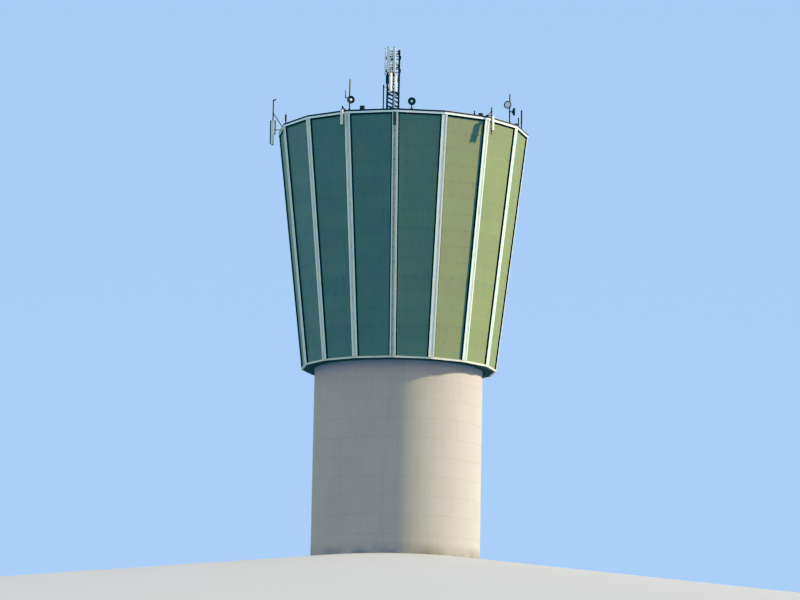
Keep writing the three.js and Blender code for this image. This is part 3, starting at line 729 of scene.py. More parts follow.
# The black foam closure behind the rib, painted shadow where it shows beside the rib's edges.
closure_painted_shadow = mirrored([
    (CLOSURE_HALF, wall_at(CLOSURE_HALF)), (CLOSURE_HALF, wall_at(CLOSURE_HALF) + CLOSURE_LIP),
    (CLOSURE_NECK, wall_at(CLOSURE_NECK) + CLOSURE_LIP), (CLOSURE_NECK, RIB_BACK + 0.002),
]) + [(0.0, wall_at(0.0))]
rib = Bench()
rib.skin([rib_ring(WALL_FOOT, closure_painted_shadow), rib_ring(WALL_TOP, closure_painted_shadow)], finish=1)
joints = steps(WALL_FOOT, WALL_TOP, RIB_LENGTHS)
for low, high in zip(joints, joints[1:]):
    rib.skin([rib_ring(low + 0.0015, flashing), rib_ring(high - 0.0015, flashing)])
for z in joints[1:-1]:
    rib.skin([rib_ring(z + rise, flashing, STRAP) for rise in (-STRAP_HALF, STRAP_HALF)])
    for x, rise in itertools.product(FIXINGS, (-0.028, 0.028)):
        face = corner_radius(z + rise) + RIB_OUT + STRAP
        bolt(rib, (x, -face, z + rise), (0, -1, 0.12), 0.011)
for z, x in itertools.product(steps(WALL_FOOT + 0.2, WALL_TOP - 0.2, 36), FIXINGS):
    seat = (x, -(corner_radius(z) + RIB_OUT - 0.001), z)
    turned(rib, [(0.011, 0), (0.01, 0.006)],
           upright(seat, (x, -(corner_radius(z) + 0.3), z + 0.018)), 6)
first_rib = piece(rib, "rib_flashing_01", [pale_paint, rubber], ["rib_01"], crease=25,
                  place=Matrix.Rotation(FIRST_RIB, 4, "Z"))
for k in range(1, SIDES):
    fit(first_rib.data, f"rib_flashing_{k + 1:02d}", [f"rib_{k + 1:02d}"],
        Matrix.Rotation(FIRST_RIB + k * BAY, 4, "Z"))

# Feeder duct: grey trunking down the front rib with a snap-on lid, in two-metre lengths with
# sleeves and clips, below a dark steel box with a door under the rim.
DUCT_PLACE = Matrix.Rotation(FIRST_RIB, 4, "Z") @ Matrix.Translation((-0.045, 0, 0))
BOX_FOOT = WALL_TOP - 0.95
DUCT_LENGTHS, DUCT_CLIPS = 8, 15
SLEEVE_HALF, CLIP_HALF = 0.05, 0.015
grey_sheet = painted_sheet(
    "duct_grey_paint", paint("949f8a"), paint("9ca793"), paint("575d52"), 0.48)
dark_sheet = painted_sheet(
    "dark_powder_coat", paint("494e42"), paint("555a4e"), paint("2b2e27"), 0.55, **DULL)


def rib_face(z, out):
    """Y of a surface this far in front of the rib's face, at a level."""
    return -(corner_radius(z) + RIB_OUT + SEAT + out)


def on_rib(bench, half, low, high, finish=0):
    """A length of the duct that follows the rib's face, from its (across, out) right half."""
    bench.skin([[(x, rib_face(z, out), z) for x, out in mirrored(half)] for z in (low, high)],
               DUCT_PLACE, finish)


duct = Bench()
cuts = steps(WALL_FOOT, BOX_FOOT, DUCT_LENGTHS)
for low, high in zip(cuts, cuts[1:]):
    on_rib(duct, [(0.054, 0), (0.054, 0.05)], low + 0.001, high - 0.001)
    on_rib(duct, [(0.0565, 0.036), (0.0565, 0.056), (0.053, 0.06)], low + 0.003, high - 0.003)
    on_rib(duct, [(0.058, 0.001), (0.058, 0.058), (0.054, 0.0625)], high - SLEEVE_HALF,
           high + (SLEEVE_HALF if high < BOX_FOOT else 0.0))
for z in steps(WALL_FOOT + 0.5, BOX_FOOT - 0.4, DUCT_CLIPS):
    on_rib(duct, [(0.085, 0), (0.085, 0.004), (0.061, 0.004), (0.061, 0.064)],
           z - CLIP_HALF, z + CLIP_HALF, 1)
for half, low, high in (
    ([(0.095, 0.0), (0.095, 0.082)], BOX_FOOT, WALL_TOP - 0.002),
    ([(0.095, 0.0), (0.095, 0.091), (0.091, 0.095)], WALL_TOP - 0.045, WALL_TOP - 0.0005),
    ([(0.087, 0.07), (0.087, 0.086), (0.083, 0.09)], BOX_FOOT + 0.02, WALL_TOP - 0.06),
):
    on_rib(duct, half, low, high, 2)
for z in (BOX_FOOT + 0.15, WALL_TOP - 0.2):
    hinge = rib_face(z, 0.088)
    tube(duct, (-0.088, hinge, z - 0.03), (-0.088, hinge, z + 0.03), 0.006, 10, 1, place=DUCT_PLACE)
    bolt(duct, (0.07, rib_face(z, 0.09), z), (0, -1, 0), 0.012, 1, DUCT_PLACE)
piece(duct, "feeder_trunking", [grey_sheet, zinc, dark_sheet], ["feeder_duct"])

# Roof: torched bitumen felt with a grey mineral face, in metre-wide strips across the slab. Each
# strip laps the last, and water lies in patches.
ROOF_TOP = levels("roof_slab")[1]
CAP_IN = hole_in("rim_cap")
ROOF_HALF = 8.4
STRIPS = 17
STRIP = 2 * ROOF_HALF / STRIPS
FELT_LAP = 0.08


def mineral_felt(name, colour, pale, wet):
    """Bitumen felt with slate chippings: dull dark grey, speckled, paler in clouds where it has
    dried out, and darker in shallow hollows and where bitumen has bled from the laps. Its
    chippings, 6 mm apart, are drawn coarser than real ones."""
    material, tree = blank(name)
    spot, runs, clouds = weather(tree, 0.5)
    grit = node(tree, "TexNoise", {"Vector": spot, "Scale": 180.0, "Detail": 2.0})
    hollows = node(tree, "TexNoise", {"Vector": spot, "Scale": 0.32, "Detail": 2.0})
    lying = node(tree, "MapRange", {"Value": hollows, "From Min": 0.5, "From Max": 0.64})
    across = node(tree, "SeparateXYZ", {0: spot}).outputs[0]
    strip = node(tree, "Math", {0: across, 1: 1 / STRIP, 2: ROOF_HALF / STRIP},
                 operation="MULTIPLY_ADD")
    from_lap = node(tree, "Math", {0: strip}, operation="FRACT")
    bleed = node(tree, "MapRange", {"Value": from_lap, "From Min": 0.1, "From Max": 0.05})
    speck = node(tree, "MapRange", {"Value": grit, "From Min": 0.4, "From Max": 0.65})
    tone = over(tree, colour, pale, clouds)
    for shade, cover, strength in (
        (wet, lying, 0.4), (wet, bleed, 0.55), (paint("7c837d"), speck, 0.35),
    ):
        tone = over(tree, tone, shade, cover, strength)
    coat(tree, tone, (grit, 0.001), 0.9)
    return material


def half_depth(x, radius, towards):
    """From the line y = 0 to the roof's outline at this x, on the -Y or the +Y side."""
    reach = radius
    for bay in range(SIDES):
        facing = compass(1, FIRST_RIB + (bay + 0.5) * BAY)
        ahead = facing.y * towards
        if ahead > 0.05:
            reach = min(reach, (radius * math.cos(BAY / 2) - x * facing.x) / ahead)
    return reach


felt = mineral_felt("mineral_felt", paint("4f5652"), paint("5b635d"), paint("404642"))
refinish("roof_slab", felt)
strips = Bench()
felt_reach = CAP_IN / math.cos(BAY / 2) - 0.12
edges = steps(-ROOF_HALF, ROOF_HALF, STRIPS)
for k, (left, right) in enumerate(zip(edges, edges[1:])):
    xs = steps(left, right + FELT_LAP, 4)
    back = [(x, half_depth(x, felt_reach, 1)) for x in xs]
    front = [(x, -half_depth(x, felt_reach, -1)) for x in reversed(xs)]
    prism(strips, back + front, ROOF_TOP - 0.02, ROOF_TOP + 0.001 * (1 + k % 2))
piece(strips, "roof_felt_strips", [felt])

# Rim: a white folded fascia round the head of the tank, under a dark steel capping whose lip laps
# it. Both come in bay lengths, with a cap on each corner joint. A black foam strip about 110 mm
# tall below the fascia is painted shadow under its edge.
RIM_FOOT, RIM_TOP = levels("rim_fascia")
RIM_R = reach_of("rim_fascia", RIM_FOOT)
RIM_IN = hole_in("rim_fascia") + 0.001
FASCIA_R, SKIRT_R, HEM_R = RIM_R - 0.0105, RIM_R - 0.003, RIM_R - 0.024
CAP_FOOT, CAP_TOP = levels("rim_cap")
CAP_R = reach_of("rim_cap", CAP_FOOT)
CAP_WIDTH = 0.42
CAP_BACK, LIP_FOOT = CAP_R - CAP_WIDTH + 0.002, RIM_TOP - 0.045
LIP_OUT, LIP_IN = RIM_R - 0.003, RIM_R - 0.0066
# The black foam strip under the fascia is painted shadow.
FOAM_FOOT, FOAM_TOP, FOAM_FRONT, FOAM_BACK = RIM_FOOT - 0.11, RIM_FOOT - 0.002, 0.016, 0.004
white_sheet = painted_sheet(
    "white_painted_sheet", paint("f2f9e6"), paint("f5fbea"), paint("8a9086"), 0.42, 0.15)
capping_paint = painted_sheet(
    "dark_capping_paint", paint("25271d"), paint("2f3226"), paint("181912"), 0.6, **DULL)
fascia = Bench()
trim_lengths(fascia, [
    (RIM_IN, RIM_TOP - 0.01), (RIM_IN + 0.01, RIM_TOP - SEAT), (RIM_R - 0.018, RIM_TOP - SEAT),
    (FASCIA_R, RIM_TOP - 0.008), (FASCIA_R, RIM_FOOT + 0.03), (SKIRT_R, RIM_FOOT + 0.024),
    (SKIRT_R, RIM_FOOT + 0.004), (RIM_R - 0.008, RIM_FOOT + 0.001), (HEM_R, RIM_FOOT + 0.004),
    (HEM_R, RIM_FOOT + 0.016), (RIM_IN + 0.01, RIM_FOOT + 0.016), (RIM_IN, RIM_FOOT + 0.022),
], 0.1, 0.0025)
# Black strip below the fascia: painted shadow under its edge.
foam_painted_shadow = [(corner_radius(z) + out, z) for z, out in (
    (FOAM_FOOT, FOAM_BACK), (FOAM_FOOT, FOAM_FRONT), (FOAM_TOP, FOAM_FRONT), (FOAM_TOP, FOAM_BACK),
)]
past_rib = (RIB_HALF + SHEET_GAP) / corner_radius(FOAM_TOP)
for bay in range(SIDES):
    start = FIRST_RIB + bay * BAY
    trim(fascia, foam_painted_shadow, (start + past_rib, start + BAY - past_rib), finish=1)
piece(fascia, "rim_fascia_sheet", [white_sheet, rubber], ["rim_fascia"], crease=15)
capping = Bench()
trim_lengths(capping, [
    (CAP_BACK, CAP_FOOT + 0.001), (LIP_IN, CAP_FOOT + 0.001), (LIP_IN, LIP_FOOT),
    (LIP_OUT, LIP_FOOT), (LIP_OUT, CAP_TOP - 0.012), (RIM_R - 0.012, CAP_TOP - 0.0025),
    (CAP_BACK + 0.009, CAP_TOP - 0.0025), (CAP_BACK, CAP_TOP - 0.012),
], 0.12, 0.002)
for bay, share, inset in itertools.product(range(SIDES), (0.25, 0.5, 0.75), (0.04, 0.38)):
    azimuth = FIRST_RIB + (bay + share) * BAY
    spot = compass(on_side(CAP_R - inset, azimuth), azimuth, CAP_TOP - 0.0026)
    bolt(capping, spot, (0, 0, 1), 0.004)
piece(capping, "rim_capping", [capping_paint], ["rim_cap"], crease=15)

# Roof hatch: a welded upstand of galvanised sheet on the slab, with a crowned lid on two barrel
# hinges. It is shut, with a hasp at each side of its lifting handle.
HATCH_LOW, HATCH_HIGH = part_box("roof_hatch")
HATCH_Y = (HATCH_LOW.y + HATCH_HIGH.y) / 2
HATCH_HALF = 0.45
LID_HALF, LID_FOOT = HATCH_HALF + 0.044, HATCH_HIGH.z - 0.085
HATCH_HINGE_Y, HATCH_HANDLE_Y = HATCH_Y + LID_HALF - 0.012, HATCH_Y - LID_HALF - 0.03
# Weathered zinc drawn near black: painted shade, as the mast and rim fittings stand dark against
# the sky.
zinc_with_painted_shade = galvanised("old_zinc_with_painted_shade", paint("24241d"), 0.1)
hatch = Bench()
block(hatch, (2 * HATCH_HALF, 2 * HATCH_HALF, LID_FOOT - HATCH_LOW.z),
      (0, HATCH_Y, (LID_FOOT + HATCH_LOW.z) / 2))
crown = [(LID_HALF, LID_FOOT), (LID_HALF, HATCH_HIGH.z - 0.035),
         (LID_HALF - 0.012, HATCH_HIGH.z - 0.024), (0.3, HATCH_HIGH.z - 0.004),
         (0.05, HATCH_HIGH.z - 0.001)]
SQUARE = [(-1, -1), (1, -1), (1, 1), (-1, 1)]
hatch.skin([[(sx * r, HATCH_Y + sy * r, z) for sx, sy in SQUARE] for r, z in crown])
for x in (-0.28, 0.28):
    tube(hatch, (x - 0.07, HATCH_HINGE_Y, LID_FOOT - 0.01),
         (x + 0.07, HATCH_HINGE_Y, LID_FOOT - 0.01), 0.011, finish=1)
    block(hatch, (0.05, 0.006, 0.1), (x, HATCH_Y - HATCH_HALF - 0.004, LID_FOOT - 0.04), finish=1)
grip = LID_FOOT + 0.02
for x in (-0.09, 0.09):
    tube(hatch, (x, HATCH_Y - LID_HALF + 0.001, grip), (x, HATCH_HANDLE_Y, grip), 0.006, 10, 1)
tube(hatch, (-0.1, HATCH_HANDLE_Y + 0.002, grip), (0.1, HATCH_HANDLE_Y + 0.002, grip), 0.007, 10, 1)
piece(hatch, "roof_hatch_lid", [zinc, zinc_with_painted_shade], ["roof_hatch"])

# Lattice mast: four angle legs bolted to plates on the roof, with a ring of angle and gussets at
# the head of each bay. Close parallel bars lace the lower half. Above them each bay has one brace,
# and an upright stands on the front between the panel antennas.
MAST_X = -0.82
MAST_FOOT = levels("mast")[0]
MAST_HALF, LEG, LEG_THICK = 0.43, 0.14, 0.011
HEEL = MAST_HALF + LEG / 2
LEG_PLATE, PLATE = 0.29, 0.02
SPLICE_LEVELS, SPLICE = (0.85, 4.75), 0.34  # of the plates that join the legs' lengths
MAST_BAYS, LACED_BAYS, MAST_BAY = 6, 3, 1.05
MAST_TOP = MAST_BAYS * MAST_BAY
BRACE = 0.06
FACE_IN = 0.022  # heel of the braces and laces, inside the legs' faces
LACES, LACE_PITCH, LACE_DROP, LACE_WIDTH = 10, 0.32, 0.43, 0.065
BACK_LACES_RISE = 0.13
UPRIGHT_FOOT, UPRIGHT_TOP = LACED_BAYS * MAST_BAY - BRACE, 5 * MAST_BAY
LADDER_Y = MAST_HALF - 0.06


def rolled_angle(flange, thick, flip_x=1, flip_y=1):
    """The L outline of a rolled angle, its heel at the origin."""
    corners = [(0, 0), (flange, 0), (flange, thick), (thick, thick), (thick, flange), (0, flange)]
    return [(flip_x * x, flip_y * y) for x, y in corners]


def angle_bar(bench, start, end, flange, thick, side, flip=1):
    """A bar of angle: its heel on the line from start to end, one flange towards side."""
    length = (Vector(end) - Vector(start)).length
    prism(bench, rolled_angle(flange, thick, flip), 0, length, upright(start, end, Vector(side)))


mast = Bench()
for sx, sy in SQUARE:
    x, y = sx * MAST_HALF, sy * MAST_HALF
    prism(mast, rolled_angle(LEG, LEG_THICK, -sx, -sy), PLATE, MAST_TOP,
          Matrix.Translation((sx * HEEL, sy * HEEL, 0)))
    block(mast, (LEG_PLATE, LEG_PLATE, PLATE), (x, y, PLATE / 2), ease=0.003)
    for dx, dy in SQUARE:
        bolt(mast, (x + dx * 0.12, y + dy * 0.12, PLATE), (0, 0, 1), 0.016)
    for z in SPLICE_LEVELS:
        outer, inner = HEEL + 0.003, HEEL - 0.055
        block(mast, (0.006, 0.09, SPLICE), (sx * outer, sy * inner, z), ease=0.001)
        block(mast, (0.09, 0.006, SPLICE), (sx * inner, sy * outer, z), ease=0.001)
for side, (sx, sy) in enumerate(SQUARE):
    ex, ey = SQUARE[(side + 1) % 4]
    out = Vector(((sx + ex) / 2, (sy + ey) / 2, 0))
    face = out * (HEEL - FACE_IN)
    across = Vector((ex - sx, ey - sy, 0)) / 2 * (MAST_HALF - 0.01)
    for bay in range(MAST_BAYS):
        ring = Vector((0, 0, (bay + 1) * MAST_BAY - BRACE / 2))
        if bay >= LACED_BAYS:
            foot = Vector((0, 0, bay * MAST_BAY + BRACE))
            angle_bar(mast, face - across + foot, face + across + ring, BRACE, 0.006, -out)
        angle_bar(mast, face - across + ring, face + across + ring, BRACE, 0.007, -out)
        for share in (-1, 1):
            joint = face + across * share + ring
            block(mast, (0.15, 0.16, 0.008), (0, 0, 0.014), upright(joint, joint + out), ease=0.002)
            for rise in (-0.05, 0.05):
                bolt(mast, joint + out * 0.018 + Vector((0, 0, rise)), out, 0.014)
for k, end in itertools.product(range(LACES), (-1, 1)):
    low = LACE_WIDTH + k * LACE_PITCH
    lifted = low + (BACK_LACES_RISE if end > 0 else 0.0)
    near, far, y = -MAST_HALF + 0.01, MAST_HALF - 0.01, end * (HEEL - FACE_IN)
    angle_bar(mast, (near, y, lifted + LACE_DROP), (far, y, lifted), LACE_WIDTH, 0.007,
              (0, -end, 0), end)
    angle_bar(mast, (y, near, low + LACE_DROP), (y, far, low), LACE_WIDTH, 0.007,
              (-end, 0, 0), -end)
    for x, z in ((near, lifted + LACE_DROP), (far, lifted)):
        bolt(mast, (x, end * (HEEL + 0.001), z), (0, end, 0), 0.013)
block(mast, (0.07, 0.068, UPRIGHT_TOP - UPRIGHT_FOOT),
      (0, -MAST_HALF, (UPRIGHT_TOP + UPRIGHT_FOOT) / 2), ease=0.006)
block(mast, (0.07, 0.035, MAST_TOP - 0.15), (0, LADDER_Y, MAST_TOP / 2 + 0.06), ease=0.005)
for z in steps(0.35, MAST_TOP - 0.3, 19):
    tube(mast, (-0.17, LADDER_Y, z), (0.17, LADDER_Y, z), 0.011, 10)
piece(mast, "lattice_mast", [zinc_with_painted_shade], ["mast"], crease=30,
      place=Matrix.Translation((MAST_X, 0, MAST_FOOT)))

# Cable trays: galvanised channels with ribbed snap-on covers, bolted up the middle of the mast's
# front and laid over the roof on rubber sleepers. Straps hold the covers down.
TRAY_LOW, TRAY_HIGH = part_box("mast_tray")
RUN_LOW, RUN_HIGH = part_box("roof_tray")
RUN_HALF = 0.15
new_zinc = galvanised("bright_zinc", paint("b4b9b8"))
trays = Bench()
tray = (TRAY_LOW + TRAY_HIGH) / 2
wide, deep, tall = TRAY_HIGH - TRAY_LOW
block(trays, (wide - 0.012, deep - 0.004, tall), (tray.x, tray.y + 0.001, tray.z), ease=0.003)
for z in steps(TRAY_LOW.z + 0.01, TRAY_HIGH.z - 1.02, 2):
    block(trays, (wide - 0.002, 0.05, 1.0), (tray.x, tray.y - 0.009, z + 0.51), ease=0.004)
for z in steps(TRAY_LOW.z + 0.3, TRAY_HIGH.z - 0.3, 5):
    block(trays, (wide, deep - 0.002, 0.03), (tray.x, tray.y, z), ease=0.003, finish=1)
piece(trays, "mast_cable_tray", [new_zinc, zinc], ["mast_tray"])
run = Bench()
cover = RUN_HIGH.z
covered_channel = mirrored([
    (RUN_HALF - 0.006, cover - 0.09), (RUN_HALF - 0.006, cover - 0.02), (RUN_HALF, cover - 0.02),
    (RUN_HALF, cover - 0.006), (RUN_HALF - 0.006, cover), (0.08, cover), (0.074, cover - 0.006),
])
run.skin([[(MAST_X + x, y, z) for x, z in covered_channel] for y in (RUN_LOW.y, RUN_HIGH.y)])
for y in steps(RUN_LOW.y + 0.15, RUN_HIGH.y - 0.15, 5):
    block(run, (0.51, 0.1, 0.096), (MAST_X, y, RUN_LOW.z + 0.0481), finish=1, ease=0.012)
    block(run, (2 * RUN_HALF + 0.05, 0.04, 0.004), (MAST_X, y, cover - 0.003), finish=2, ease=0.001)
piece(run, "roof_cable_tray", [new_zinc, rubber, zinc], ["roof_tray"])

# Panel antennas: white glass-fibre radomes on aluminium backs, with moulded end caps and sockets
# at the foot. Clamps hold them to rails or pipes.
PANEL_WIDE, PANEL_DEEP = 0.21, 0.11
MAST_PANEL_FOOT = MAST_FOOT + 3.1
PIPE_LINE = HEEL + SEAT + 0.03  # of rails and pipes that bear on the legs


def radome_shell(name, colour):
    """Gel-coated glass fibre: white, smooth and slightly glossy, faintly dirty in runs from the
    top."""
    material, tree = blank(name)
    spot, runs, clouds = weather(tree, 0.05)
    tone = over(tree, colour, paint("7d817b"), runs, 0.14)
    tone = over(tree, tone, dimmed(colour, 0.93), clouds, 0.3)
    coat(tree, tone, (clouds, 0.0003), 0.36)
    return material


white_radome = radome_shell("white_gel_coat", paint("edf0dc"))
cast_grey = moulded("grey_end_cap", paint("9da09f"), 0.55)
PANEL_FINISHES = [white_radome, cast_grey, rubber, zinc_with_painted_shade]
STEEL = PANEL_FINISHES.index(zinc_with_painted_shade)


def panel_antenna(bench, place, long, shell=0, cap=1, socket=2):
    """A panel about the place's origin, its face towards -Y and its length along Z. Its face is a
    softly squared curve from side to side."""
    half, back = PANEL_WIDE / 2, PANEL_DEEP / 2
    section = []
    for a in steps(0, math.pi, 16):
        across = math.copysign(abs(math.cos(a)) ** 0.42, math.cos(a)) * (half - 0.001)
        section.append((-across, -back + (PANEL_DEEP - 0.03) * (1 - math.sin(a) ** 0.55)))
    section += [(half - 0.012, back - 0.012), (half - 0.02, back), (-half + 0.02, back),
                (-half + 0.012, back - 0.012)]

    def skin(scales, finish):
        bench.skin([[(x * s, y * s, z) for x, y in section] for s, z in scales], place, finish)

    end = long / 2
    skin(((0.93, -end + 0.03), (0.99, -end + 0.05), (0.99, end - 0.05), (0.93, end - 0.03)), shell)
    for way in (-1, 1):
        skin(((1.0, way * (end - 0.055)), (1.0, way * (end - 0.008)), (0.96, way * end)), cap)
    for x in (-0.055, 0.0, 0.055):
        tube(bench, (x, 0.01, -end - 0.028), (x, 0.01, -end + 0.01), 0.014, 12, socket, place=place)


for name, across, turn, long, stands_off in (
    ("mast_panel_left", -0.17, 42, 1.43, 0.34), ("mast_panel_right", 0.19, 30, 1.3, 0.13),
):
    bench = Bench()
    x, outward = MAST_X + across, math.copysign(1, across)
    panel_y = -(HEEL + stands_off + PANEL_DEEP / 2)
    faces = Matrix.Translation((x, panel_y, 0)) @ Matrix.Rotation(math.radians(turn), 4, "Z")
    lift = Matrix.Translation((0, 0, MAST_PANEL_FOOT + long / 2))
    panel_antenna(bench, lift @ faces, long)
    for z in (MAST_PANEL_FOOT + 0.35, MAST_PANEL_FOOT + long - 0.07):
        tube(bench, (x - outward * 0.03, -PIPE_LINE, z), (MAST_X + outward * HEEL, -PIPE_LINE, z),
             0.03, 14, STEEL)
        block(bench, (0.055, -PIPE_LINE - panel_y, 0.055), (x, (panel_y - PIPE_LINE) / 2, z),
              finish=STEEL)
        block(bench, (0.1, 0.03, 0.1), (0, PANEL_DEEP / 2 + 0.013, z), faces, STEEL)
        for side in (-0.04, 0.04):
            tube(bench, (x + side, -PIPE_LINE - 0.045, z + 0.025),
                 (x + side, -PIPE_LINE + 0.028, z + 0.025), 0.006, 8, STEEL)
    piece(bench, f"{name}_antenna", PANEL_FINISHES, [name])

# Radio unit: a finned box of cast aluminium, powder-coated dark, bolted to the face of the mast's
# left front leg. Two bars tie its fins, and four sockets hang below it.
UNIT_LOW, UNIT_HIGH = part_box("mast_box")
wide, deep, tall = UNIT_HIGH - UNIT_LOW
middle = (UNIT_LOW + UNIT_HIGH) / 2
unit = Bench()
block(unit, (wide, 0.075, tall - 0.03), (middle.x, UNIT_HIGH.y - 0.0375, middle.z + 0.015),
      ease=0.008)
for x in steps(UNIT_LOW.x + 0.012, UNIT_HIGH.x - 0.012, 14):
    block(unit, (0.004, 0.056, tall - 0.07), (x, UNIT_LOW.y + 0.029, middle.z + 0.015), ease=0.0015)
for z in (UNIT_LOW.z + 0.06, UNIT_HIGH.z - 0.03):
    block(unit, (wide - 0.01, 0.04, 0.02), (middle.x, UNIT_LOW.y + 0.034, z), ease=0.004)
for x in (-0.07, -0.023, 0.023, 0.07):
    tube(unit, (middle.x + x, middle.y + 0.02, UNIT_LOW.z),
         (middle.x + x, middle.y + 0.02, UNIT_LOW.z + 0.04), 0.014, finish=1)
piece(unit, "mast_radio_unit", [dark_sheet, rubber], ["mast_box"])

# Mast head: two square frames of galvanised pipe, bolted round the legs, carry four long panels
# on brackets. The photograph's top edge cuts the mast off here.
HEAD_LOW, HEAD_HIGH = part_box("mast_head")
HEAD_MIDDLE, HEAD_LONG = (HEAD_LOW.z + HEAD_HIGH.z) / 2, HEAD_HIGH.z - HEAD_LOW.z
FRAME_RISES = (0.3, 1.3)
head = Bench()
for rise, side in itertools.product(FRAME_RISES, range(4)):
    start, end = (Vector((MAST_X + sx * PIPE_LINE, sy * PIPE_LINE, HEAD_LOW.z + rise))
                  for sx, sy in (SQUARE[side], SQUARE[(side + 1) % 4]))
    tube(head, start, end, 0.0298, 14, STEEL)
    bolt(head, start + Vector((0, 0, 0.029)), (0, 0, 1), 0.013, STEEL)
for turn, aside in ((0, -0.39), (0, 0.07), (180, 0), (-90, 0)):
    place = (Matrix.Translation((MAST_X, 0, HEAD_MIDDLE))
             @ Matrix.Rotation(math.radians(turn), 4, "Z")
             @ Matrix.Translation((aside, -(PIPE_LINE + 0.025 + PANEL_DEEP / 2), 0)))
    panel_antenna(head, place, HEAD_LONG)
    for rise in FRAME_RISES:
        block(head, (0.12, 0.05, 0.09), (0, PANEL_DEEP / 2 + 0.015, rise - HEAD_LONG / 2), place,
              STEEL)
piece(head, "mast_head_antennas", PANEL_FINISHES, ["mast_head"])

# Left pole on the rim: a tall galvanised pole with a dish and, on a side arm, a short rod antenna.
# Like all the rim equipment, it stands on a bolted plate with gussets on the capping. It is drawn
# as if it stood in front, with -Y outwards, and is turned to its place.
DECK = CAP_TOP + SEAT
POLE_R = 0.048
FOOT_HALF, FOOT_THICK, FOOT_BOLTS = 0.11, 0.02, 0.085
GUSSET_OUT, GUSSET_UP = 0.098, 0.11
DISH_R, DISH_DEEP = 0.29, 0.19


def stand(azimuth):
    """The turn that takes a piece from the front to its azimuth."""
    return Matrix.Rotation(math.radians(azimuth), 4, "Z")


def on_cap(azimuth):
    """Y of the middle of the capping, as seen by a piece that is turned to this azimuth."""
    return -on_side(CAP_R - CAP_WIDTH / 2, math.radians(azimuth))


def foot_plate(bench, y, place):
    """A base plate with its four bolts."""
    block(bench, (2 * FOOT_HALF, 2 * FOOT_HALF, FOOT_THICK), (0, y, DECK + FOOT_THICK / 2), place,
          0, 0.003)
    for dx, dy in itertools.product((-FOOT_BOLTS, FOOT_BOLTS), repeat=2):
        bolt(bench, (dx, y + dy, DECK + FOOT_THICK), (0, 0, 1), 0.014, place=place)


def pole(bench, y, height, place, finish=0):
    """A capped pole on its plate, with four gussets."""
    foot_plate(bench, y, place)
    root = POLE_R - 0.004
    wedge = [(root, 0.0), (GUSSET_OUT, 0.0), (GUSSET_OUT, 0.012), (POLE_R + 0.012, GUSSET_UP),
             (root, GUSSET_UP)]
    for dx, dy in ((1, 0), (-1, 0), (0, 1), (0, -1)):
        side = Vector((-dy, dx, 0)) * 0.003
        bench.skin([
            [Vector((dx * r, y + dy * r, DECK + FOOT_THICK + z)) + side * s for r, z in wedge]
            for s in (-1, 1)
        ], place, finish)
    sleeve = POLE_R + 0.003
    turned(bench, [
        (POLE_R, 0.018), (POLE_R, height - 0.03), (sleeve, height - 0.03), (sleeve, height - 0.012),
        (POLE_R * 0.7, height - 0.002), (POLE_R * 0.2, height),
    ], place @ Matrix.Translation((0, y, DECK)), 18, finish)


def clamp(bench, place):
    """A two-part pipe clamp about the place's Z."""
    for side in (-1, 1):
        block(bench, (2 * POLE_R + 0.05, 0.03, 0.05), (0, side * (POLE_R - 0.004), 0), place)
    for x, side in itertools.product((-1, 1), (-1, 1)):
        spot = (x * (POLE_R + 0.014), side * (POLE_R + 0.011), 0)
        bolt(bench, spot, (0, side, 0), 0.009, place=place)


def dish(bench, place, reach, hub=0.1):
    """A dish on its pole at the place's origin, facing -Y: dark bowl, pale hub, collar, arm and
    feed box."""
    axis = place @ upright((0, -reach, 0), (0, -reach - 1, 0))
    collar = DISH_R - 0.006
    turned(bench, [
        (0.07, 0.0), (0.19, 0.012), (0.262, 0.055), (collar, 0.08), (collar, DISH_DEEP - 0.035),
        (DISH_R, DISH_DEEP - 0.03), (DISH_R, DISH_DEEP - 0.002), (DISH_R - 0.014, DISH_DEEP),
        (DISH_R - 0.02, DISH_DEEP - 0.012), (0.2, DISH_DEEP - 0.06), (hub - 0.01, DISH_DEEP - 0.09),
    ], axis, 40, SHROUD)
    turned(bench, [
        (hub, DISH_DEEP - 0.1), (hub, DISH_DEEP - 0.04), (0.85 * hub, DISH_DEEP - 0.022),
        (0.5 * hub, DISH_DEEP - 0.012), (0.1 * hub, DISH_DEEP - 0.01),
    ], axis, 32, FACE)
    for k in range(8):
        azimuth = (k + 0.5) * math.tau / 8
        bolt(bench, compass(collar, azimuth, 0.11), compass(1, azimuth), 0.008, place=axis)
    tube(bench, (0, 0, 0), (0, -reach - 0.012, 0), 0.034, 16, place=place)
    clamp(bench, place)
    block(bench, (0.17, 0.06, 0.17), (0, -reach + 0.028, 0), place, GREY, 0.012)
    for k in range(5):
        block(bench, (0.15, 0.012, 0.004), (0, -reach + 0.062, -0.06 + 0.03 * k), place, GREY,
              0.001)


pale_face = moulded("dish_face", paint("eceeea"), 0.5)
shroud_paint = painted_sheet(
    "dish_shroud_paint", paint("292b26"), paint("32352f"), paint("1a1b18"), 0.6, **DULL)
FITTINGS = [zinc_with_painted_shade, pale_face, shroud_paint, cast_grey, white_radome, rubber]
FACE, SHROUD, GREY, RADOME, RUBBER = range(1, 6)


def rim_piece(bench, name, solid):
    """A piece of rim equipment, in the finishes that all of it shares."""
    piece(bench, name, FITTINGS, [solid])


